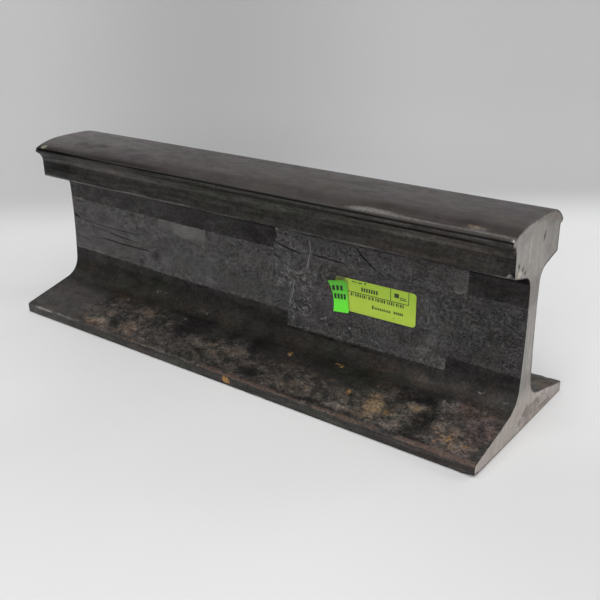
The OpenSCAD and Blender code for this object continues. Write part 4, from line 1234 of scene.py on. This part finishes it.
def tape_long():
    f = Film()
    h = 0.08
    ease = 0.32
    cols = []
    xf = np.linspace(-HALF_L + ease, HALF_L - ease, 420)
    cols += [("front", x, 0) for x in xf]
    cols += [("turn", 1, -1), ("end", 1, -1), ("end", 1, -0.5), ("end", 1, 0), ("end", 1, 0.5),
             ("end", 1, 1), ("turn", 1, 1)]
    xb = np.linspace(HALF_L - ease, -HALF_L + ease, 220)
    cols += [("back", x, 0) for x in xb]
    cols += [("turn", -1, 1), ("end", -1, 1), ("end", -1, 0.5), ("end", -1, 0), ("end", -1, -0.5),
             ("end", -1, -1), ("turn", -1, -1)]
    rows = 42
    t = np.linspace(0, 1, rows)
    grid, film = [], []
    for kind, a, b in cols:
        x = a if kind in ("front", "back") else a * HALF_L
        z = strip_low(x) + t * (strip_high(x) - strip_low(x))
        z = z + (t > 0.99) * 0.25 * noise(np.array([[x, b, 0.0]]), 6, 33)[0]
        u = skin(z)
        if kind in ("front", "back"):
            side = -1 if kind == "front" else 1
            q = np.c_[np.full(rows, x), side * u, z]
            off = film_height(q, h, 34)
            off = np.where((t < 0.001) | (t > 0.999), 0.01, off)
            p = np.c_[np.full(rows, x), side * (u + off), z]
        elif kind == "turn":
            p = np.c_[np.full(rows, a * (HALF_L - 0.02)), b * (u - 0.02), z]
            q = p
        else:
            y = b * (u - ease)
            q = np.c_[np.full(rows, a * HALF_L), y, z]
            p = np.c_[np.full(rows, a * (HALF_L + h - 0.005)), y, z]
        haze = long_haze(q[:, 0], q[:, 2]) if kind != "end" else np.full(rows, 0.85)
        haze = np.where((t < 0.03) | (t > 0.97), haze * 1.12, haze)
        grid.append(p)
        glow = long_glow(q[:, 0], q[:, 2]) * (kind == "front") + 0.5 * (kind == "end")
        film.append(np.c_[haze, glow, speckle(q[:, 0])])
    c = len(cols)
    grid = np.transpose(np.array(grid), (1, 0, 2)).reshape(-1, 3)
    film = np.transpose(np.array(film), (1, 0, 2)).reshape(-1, 3)
    f.add(grid, grid_faces(rows, c, closed=True), 0, film)
    # dark folds, their darkness painted shade for each fold's own shadow
    for pts, w, k in (
            ([(-172, 67.3), (-162, 66.4), (-154, 65.7), (-146, 65.1), (-136, 64.6)], 1.5, 1.0),
            ([(-196, 70.0), (-186, 68.9), (-176, 67.6), (-168, 66.9)], 0.9, 0.5),
            ([(-184, 60.2), (-168, 60.0), (-152, 59.7), (-136, 59.7), (-116, 60.3)], 1.5, 1.0),
            ([(-204, 73.0), (-184, 71.6), (-160, 71.2), (-140, 71.8), (-118, 73.4)], 1.1, 0.7),
            ([(-160, 62.8), (-148, 62.6), (-138, 62.9)], 0.8, 0.35),
            ([(-212, 66.8), (-200, 66.0), (-190, 66.4)], 0.8, 0.35),
            ([(-218.2, 77.8), (-215, 75.6), (-210, 74.0)], 2.4, 1.0),
            ([(-218.2, 59.6), (-213, 57.2), (-206, 55.6), (-198, 55.4)], 1.2, 0.6),
            ([(-218.2, 67.0), (-216, 64.0), (-215, 60.0)], 1.2, 0.5),
            ([(205, 77.2), (211, 73.6), (218, 70.6)], 1.3, 0.9),
            ([(-130, 79.0), (-112, 79.6), (-96, 78.6)], 0.8, 0.30),
            ([(-28, 61.8), (-14, 61.2), (2, 61.8)], 1.0, 0.45),
            ([(-100, 70.5), (-92, 70.0), (-80, 70.8)], 0.8, 0.35)):
        f.ridge(pts, w, 0.32, h, dark=k)
    # pale folds, painted highlights where a fold catches light
    for pts in ([(-190, 70.9), (-168, 68.6), (-150, 67.2)], [(-196, 62.2), (-176, 61.8), (-158, 61.5)],
                [(-212, 54.4), (-200, 53.6)], [(-90, 66), (-60, 65)], [(12, 88), (16, 78), (14, 66)]):
        f.ridge(pts, 0.9, 0.2, h, dark=0.22, glow=1.0)
    return f.make("tape_long_strip", "tape_long")


def short_strip(name, node, x0, x1, low, high, h, haze_of, ridges, glows, creases, seed):
    f = Film()
    cols, rows = 300, 44
    s, t = np.linspace(0, 1, cols), np.linspace(0, 1, rows)
    S, T = np.meshgrid(s, t)
    z0 = low(x0 + S * (x1 - x0))
    z1 = high(x0 + S * (x1 - x0))
    Z = z0 + T * (z1 - z0)
    torn = 1.1 * noise(np.stack([Z, Z * 0, Z * 0], -1), 6, seed) + 0.5 * noise(
        np.stack([Z, Z * 0, Z * 0], -1), 2.3, seed + 1)
    if node == "tape_upper":
        left = np.interp(Z, [60, 88, 93, 97, 101, 104, 108], [17.6, 17.4, 17.3, 18.6, 20.6, 20.2, 18.6])
        left = left + 0.5 * torn
    else:
        left = x0 + 0.8 + torn * 0.2
    right = x1 + 0.25 * noise(np.stack([Z, Z * 0 + 7, Z * 0], -1), 7, seed + 2)
    X = left + S * (right - left)
    q = np.stack([X, Z * 0, Z], -1)
    off = film_height(q, h, seed + 3)
    border = (S < 0.001) | (S > 0.999) | (T < 0.001) | (T > 0.999)
    off = np.where(border, h - 0.07, off)
    p = np.stack([X, -(skin(Z) + off), Z], -1).reshape(-1, 3)
    haze = haze_of(X, Z)
    haze = np.where((S < 0.008) | (S > 0.994) | (T < 0.03) | (T > 0.97), haze * 1.15, haze)
    spotted = speckle(X) * np.where(Z < strip_low(X), 0.45, 0.9)
    over = (node == "tape_upper") * (Z > strip_high(X)) * 0.45 * smooth(X, 160, 170)
    film = np.stack([haze, over, spotted], -1).reshape(-1, 3)
    f.add(p, grid_faces(rows, cols), 0, film)
    # dark folds with painted shade, then pale folds with painted highlight
    for pts, w, k in ridges:
        f.ridge(pts, w, 0.3, h, dark=k)
    for pts, w, k in glows:
        f.ridge(pts, w, 0.22, h, dark=k, glow=1.0)
    f.crumple(creases, h, seed + 5)
    return f.make(name, node)


def upper_haze(x, z):
    over = z > strip_high(x) - 0.2
    h = np.where(over, 0.84, 0.08)
    h = h + over * (0.36 * np.exp(-((x - 32) / 18) ** 2) - 0.10 * smooth(x, 60, 120)
                    + 0.10 * smooth(x, 145, 165))
    return h


def lower_haze(x, z):
    h = np.where(z < strip_low(x) + 0.2, 0.90 + 0.30 * smooth(x, 118, 150), 0.06)
    h = h - 0.75 * np.exp(-((x - 69) / 6) ** 2 - ((z - 41.2) / 1.3) ** 2)
    h = h - 0.25 * np.exp(-((x - 112) / 10) ** 2 - ((z - 38) / 3) ** 2)
    return np.clip(h, 0.02, 2)


tape_a = tape_long()
tape_b = short_strip(
    "tape_lower_strip", "tape_lower", 30, 165.5,
    lambda x: np.interp(x, [30, 165.5], [31.6, 33.1]),
    lambda x: np.interp(x, [30, 165.5], [31.6, 33.1]) + 47.8, 0.16, lower_haze,
    [([(62, 57), (66, 50), (70, 47)], 0.8, 0.25)],
    [([(36, 66), (35, 58), (32, 50), (31.6, 44)], 1.4, 0.42),
     ([(32, 67), (36, 65.6), (39, 66)], 1.0, 0.4), ([(141, 59.6), (152, 59.3), (164, 59.0)], 0.8, 0.25)],
    ((35.5, 48, 2.5, 4.5, 14), (45, 47.5, 4.5, 2.6, 14), (37, 38.5, 2.4, 2.4, 6), (34, 56, 2.4, 3, 8),
     (49, 55, 4, 3, 9), (50, 72, 6, 2, 6), (93, 41, 6, 3, 6), (109, 37, 6, 2.5, 5), (62, 44, 8, 3, 7)), 40)
tape_c = short_strip(
    "tape_upper_strip", "tape_upper", 17, 178,
    lambda x: x * 0 + 60.4, lambda x: x * 0 + 108.2, 0.24, upper_haze,
    [([(18, 95.8), (24, 94.6), (31, 92.4), (38, 91.4), (44, 91.4)], 1.5, 1.0),
     ([(51, 92.4), (60, 92.2), (70, 91.7), (78, 91.2), (87, 90.2)], 1.3, 0.9),
     ([(91, 105.4), (95, 101.3), (100, 96.5), (105, 93), (110, 91.2)], 1.9, 1.0),
     ([(88, 84.0), (110, 86.0), (135, 87.6), (165, 89.2)], 0.8, 0.35),
     ([(26, 78.6), (33, 78.2), (42, 76.0)], 1.0, 0.5)],
    [([(50.5, 104), (51.3, 99), (52.3, 95.5), (50.5, 90), (48.5, 82), (47, 78.5)], 1.6, 0.55),
     ([(29, 76.8), (34, 75.6), (40, 74.4)], 1.1, 0.42), ([(36, 72.4), (40, 71.8), (46, 72.4)], 1.1, 0.40),
     ([(18.8, 80), (19.2, 76), (18.8, 73)], 1.0, 0.4)],
    ((31, 76.4, 4, 2.2, 15), (40.5, 75, 5, 2.2, 15), (24.5, 65.5, 2.2, 2.2, 11), (34, 65.5, 2.6, 2.6, 13),
     (45, 64, 3.4, 2.6, 15), (52, 68, 3.5, 3, 9), (20, 80, 0.9, 4, 6), (48.5, 86, 1.4, 4.5, 7),
     (27, 71, 4, 1.6, 8), (56, 77, 5, 2.5, 8), (30, 86, 3, 3, 6), (60, 66, 4, 8, 8),
     (148, 70, 14, 7, 16), (100, 95, 30, 5, 10)), 50)


# ---------------------------------------------------------------- label and tag
def rounded(w, h, r, n=8):
    """Outline of a sheet; r holds one radius, or one for each corner from the lower right on."""
    pts = []
    r0, r1, r2, r3 = r if isinstance(r, tuple) else (r,) * 4
    for cx, cz, a, r in ((w - r0, r0, -90, r0), (w - r1, h - r1, 0, r1), (r2, h - r2, 90, r2),
                         (r3, r3, 180, r3)):
        for k in range(n + 1):
            t = math.radians(a + 90 * k / n)
            pts.append((cx + r * math.cos(t), cz + r * math.sin(t)))
    return np.array(pts)


def paper_piece(name, edge, bars, place, thick, materials, step=1.3, seed=0):
    """A thin closed sheet. bars are printed rectangles; place turns sheet points into 3-D."""
    m = len(edge)
    pts = list(map(tuple, edge))
    loops = [(i, (i + 1) % m) for i in range(m)]
    for x0, y0, x1, y1 in bars:
        k = len(pts)
        pts += [(x0, y0), (x1, y0), (x1, y1), (x0, y1)]
        loops += [(k, k + 1), (k + 1, k + 2), (k + 2, k + 3), (k + 3, k)]
    w, h = edge.max(0)
    g = np.array([(x, y) for x in np.arange(step / 2, w, step) for y in np.arange(step / 2, h, step)])
    g = g[inside(g, edge)]
    g = g[clearance(g, edge) > 0.35]
    for x0, y0, x1, y1 in bars:
        near = ((g[:, 0] > x0 - 0.25) & (g[:, 0] < x1 + 0.25) & (g[:, 1] > y0 - 0.25)
                & (g[:, 1] < y1 + 0.25))
        core = ((g[:, 0] > x0 + 0.25) & (g[:, 0] < x1 - 0.25) & (g[:, 1] > y0 + 0.25)
                & (g[:, 1] < y1 - 0.25))
        g = g[~near | core]
    pts += list(map(tuple, g))
    out = delaunay_2d_cdt([Vector(p) for p in pts], loops, [], 0, 1e-6)
    co = np.array([tuple(v) for v in out[0]])
    tri = np.array([list(t) for t in out[2]])
    mid = co[tri].mean(1)
    keep = inside(mid, edge)
    tri, mid = tri[keep], mid[keep]
    a, b, c = co[tri[:, 0]], co[tri[:, 1]], co[tri[:, 2]]
    area = (b[:, 0] - a[:, 0]) * (c[:, 1] - a[:, 1]) - (b[:, 1] - a[:, 1]) * (c[:, 0] - a[:, 0])
    tri[area < 0] = tri[area < 0][:, ::-1]
    printed = np.zeros(len(tri), bool)
    for x0, y0, x1, y1 in bars:
        printed |= ((mid[:, 0] > x0) & (mid[:, 0] < x1) & (mid[:, 1] > y0) & (mid[:, 1] < y1))
    front, back = place(co, thick), place(co, 0.0)
    count = len(co)
    verts = np.concatenate([front, back])
    faces = [tuple(map(int, t)) for t in tri] + [tuple(int(v) + count for v in t[::-1]) for t in tri]
    index = [1 if p else 0 for p in printed] + [0] * len(tri)
    # walls along the free border
    seen = {}
    for t in tri:
        for k in range(3):
            seen[(int(t[k]), int(t[(k + 1) % 3]))] = True
    for (p, q) in list(seen):
        if (q, p) not in seen:
            faces.append((q, p, p + count, q + count))
            index.append(0)
    return mesh_object(name, verts * MM, faces, materials, index=index, sharp=40)


LABEL_PAPER = paper("label_paper", (0.345, 0.520, 0.036), (0.430, 0.600, 0.052), rise=(60, 82),
                    under=(77.95, 65.89, 6, 7.1, 12.3))
LABEL_INK = ink("label_ink", (0.014, 0.020, 0.007), (0.050, 0.070, 0.016))
TAG_PAPER = paper("tag_paper", (0.085, 0.420, 0.026), (0.145, 0.860, 0.036), 0.5, rise=(58, 78))
TAG_INK = ink("tag_ink", (0.006, 0.016, 0.006), (0.012, 0.040, 0.010))


def place_label(p, thick):
    a = math.radians(0.7)
    x = 74 + p[:, 0] * math.cos(a) - p[:, 1] * math.sin(a)
    z = 56.2 + p[:, 0] * math.sin(a) + p[:, 1] * math.cos(a)
    lift = 0.05 * (1 + fbm(np.c_[x, x * 0, z], (13, 13, 9), 2, seed=60))
    border = clearance(p, LABEL_EDGE)
    lift = lift * smooth(border, 0, 2)
    return np.c_[x, -(skin(z) + 0.25 + lift + thick), z]


def place_tag(p, thick):
    a = math.radians(6)
    x = 86.3 + (p[:, 0] - 14.2) * math.cos(a) - p[:, 1] * math.sin(a)
    z = 54.4 + (p[:, 0] - 14.2) * math.sin(a) + p[:, 1] * math.cos(a)
    lean = math.radians(28.6)
    e = (x - 76.6) * -math.cos(lean) + (z - 58.2) * math.sin(lean)
    e = np.maximum(e, 0)
    curl = 31.0 - np.sqrt(31.0 ** 2 - e ** 2)
    return np.c_[x, -(skin(z) + 0.46 + curl + thick), z]


LABEL_EDGE = rounded(66.7, 24.6, 2.6)
TAG_EDGE = rounded(14.2, 24.6, (1.6, 3.0, 0.25, 0.25), 5)
TAG_EDGE = np.r_[TAG_EDGE[:18], [(0.0, y) for y in np.linspace(23.6, 1.0, 18)], TAG_EDGE[18:]]
TAG_EDGE[:, 0] = np.maximum(
    TAG_EDGE[:, 0], 1.75 - 53.4 + np.sqrt(53.4 ** 2 - (TAG_EDGE[:, 1] - 11) ** 2) + 0.02)
label_bars = [
    (14.2, 22.6, 18.6, 23.3), (19.4, 22.5, 23.2, 23.3), (24.9, 22.6, 26.1, 24.1),
    (46.2, 15.5, 46.75, 24.55), (60.6, 15.5, 61.15, 24.55),
    (49.4, 18.6, 53.2, 21.8), (53.8, 18.9, 58.8, 19.5), (53.8, 17.6, 59.4, 18.3),
    (11.0, 14.95, 61.15, 15.5),
    (31.6, 5.9, 32.9, 8.7), (49.0, 2.8, 50.4, 3.2),
]
# a row of short upright bars where the label has its number, and a finer row below the rule
label_bars += [(22.2 + 2.06 * k, 17.1, 23.6 + 2.06 * k, 20.1) for k in range(7)]
label_bars += [(33.7 + 1.5 * k, 6.1, 34.7 + 1.5 * k, 7.8) for k in range(9)]
label_bars += [(49.2 + 1.6 * k, 6.2, 50.3 + 1.6 * k, 8.2) for k in range(5)]
x = 13.4
for k, wide in enumerate((1.2, 0.6, 1.2, 1.3, 1.1, 0.9, 1.3, 0.7, 1.2, 0.6, 1.3, 1.0, 1.2, 0.8, 1.2, 1.3,
                          0.7, 1.1, 1.3, 0.9, 1.2, 0.7, 1.3, 1.0)):
    label_bars.append((x, 12.2, x + wide, 14.55))
    x += wide + (1.35 if k in (1, 7, 10, 15, 19) else 0.66)
label = paper_piece("paper_label_sheet", LABEL_EDGE, label_bars, place_label, 0.09,
                    [LABEL_PAPER, LABEL_INK])
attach(label, "root")
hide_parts("paper_label")
tag_bars = [(2.1 + 3.05 * k, 16.6, 4.2 + 3.05 * k, 20.6) for k in range(3)]
tag_bars += [(2.6 + 2.6 * k, 10.1, 4.5 + 2.6 * k, 14.2) for k in range(4)]
tag = paper_piece("lot_tag_sheet", TAG_EDGE, tag_bars, place_tag, 0.11, [TAG_PAPER, TAG_INK],
                  step=0.9)
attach(tag, "root")
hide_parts("lot_tag")


# ---------------------------------------------------------------- studio
def studio():
    """A pale floor that sweeps up into a pale backdrop, square to the camera's heading."""
    m = Nodes("studio_paper")
    cloud = m.noise(160, 3, 0.5)
    height = m.add("ShaderNodeSeparateXYZ")
    m.put(m.mm, height.inputs[0])
    ahead = Vector((-BACKWARD.x, -BACKWARD.y, 0)).normalized()
    across = Vector((ahead.y, -ahead.x, 0))
    up = m.range(height.outputs[2], 2.5, 28)
    floor = m.mix(cloud, (0.86, 0.86, 0.86), (0.895, 0.895, 0.895))
    # painted light and shade on the floor: lighter close beside the rail's left-hand part, where its own shade falls,
    # duller towards the camera, most at the right, and a little duller to the left
    side = m.vec("DOT_PRODUCT", m.mm, tuple(across))
    front = m.vec("DOT_PRODUCT", m.mm, tuple(ahead))
    floor = m.scaled(floor, m.blend(m.mul(m.range(front, -160, -50), m.range(front, 150, 60)), 1.0,
                                    m.range(side, -40, -240, 1.0, 1.085)))
    near = m.range(front, -105, -200)
    floor = m.scaled(floor, m.blend(near, m.range(side, 40, -160, 1.0, 0.925), m.range(side, 20, 190, 0.91, 0.85)))
    wall = m.mix(cloud, (0.545, 0.545, 0.552), (0.572, 0.572, 0.579))
    # painted light and shade on the backdrop: a little darker higher up and to the right, a little lighter far to the
    # left above the floor
    wall = m.scaled(wall, m.range(height.outputs[2], 60, 130, 1.0, 0.965))
    wall = m.scaled(wall, m.blend(m.range(height.outputs[2], 8, 34), 1.0, m.range(side, -330, -120, 1.055, 1.0)))
    wall = m.scaled(wall, m.range(side, 150, 360, 1.0, 0.972))
    # painted shade: a soft grey pool on the backdrop, behind the middle of the rail
    away = m.math("ABSOLUTE", m.plus(side, 85.0))
    backdrop_shade = m.mul(m.range(away, 0, 330, 1.0, 0.0), m.range(height.outputs[2], 15, 62))
    backdrop_shade = m.mul(backdrop_shade, m.range(height.outputs[2], 55, 115, 1.0, 0.80))
    wall = m.scaled(wall, m.range(backdrop_shade, 0, 1, 1.0, 0.76, soft=False))
    m.set("Base Color", m.mix(up, floor, wall))
    m.set("Roughness", m.range(cloud, 0.3, 0.7, 0.8, 0.95))
    profile = [(-3.0, 0.0), (-1.5, 0.0), (-0.6, 0.0), (0.0, 0.0), (0.22, 0.0)]
    r = 0.45
    for k in range(1, 25):
        a = math.radians(90 * k / 24)
        profile.append((0.22 + r * math.sin(a), r - r * math.cos(a)))
    profile.append((0.22 + r, 2.4))
    verts, faces = [], []
    for s in (-3.0, -1.0, 0.0, 1.0, 3.0):
        for d, z in profile:
            p = ahead * d + across * s
            verts.append((p.x, p.y, z))
    c = len(profile)
    for i in range(4):
        for j in range(c - 1):
            faces.append((i * c + j, (i + 1) * c + j, (i + 1) * c + j + 1, i * c + j + 1))
    sweep = mesh_object("studio_sweep", verts, [f[::-1] for f in faces], [m.mat])
    if sweep.data.polygons[0].normal.z < 0:
        sweep.data.flip_normals()
    # seen from outside, the backdrop is clear, so that it doesn't hide the rail from behind
    geometry, clear, either = (m.add("ShaderNode" + kind) for kind in ("NewGeometry", "BsdfTransparent", "MixShader"))
    m.link(geometry.outputs["Backfacing"], either.inputs[0])
    m.link(m.shader.outputs[0], either.inputs[1])
    m.link(clear.outputs[0], either.inputs[2])
    m.link(either.outputs[0], m.tree.nodes["Material Output"].inputs["Surface"])
    return ahead, across


AHEAD, ACROSS = studio()


def lamp(name, place, aim, size, power, colour=(1, 1, 1), size_y=None):
    d = bpy.data.lights.new(name, "AREA")
    d.shape = "RECTANGLE"
    d.size, d.size_y = size, size_y or size
    d.energy = power
    d.color = colour
    o = bpy.data.objects.new(name, d)
    o.location = place
    o.rotation_mode = "QUATERNION"
    o.rotation_quaternion = (Vector(aim) - Vector(place)).to_track_quat("-Z", "Y")
    scene.collection.objects.link(o)
    return o


world = bpy.data.worlds.new("studio")
scene.world = world
world.use_nodes = True
world.node_tree.nodes["Background"].inputs["Color"].default_value = (1, 1, 1, 1)
world.node_tree.nodes["Background"].inputs["Strength"].default_value = 0.24
lamp("overhead", Vector((0, 0, 1.30)) - AHEAD * 0.35 - ACROSS * 0.15, (0, 0, 0), 1.5, 9.0, size_y=1.1)
lamp("front", Vector((0, 0, 0.85)) - AHEAD * 1.45 - ACROSS * 0.45, (0, 0, 0.0), 1.1, 13.2)
lamp("right", Vector((0, 0, 0.75)) + ACROSS * 1.4 + AHEAD * 0.2, (0.2, 0, 0.05), 0.9, 5.8)
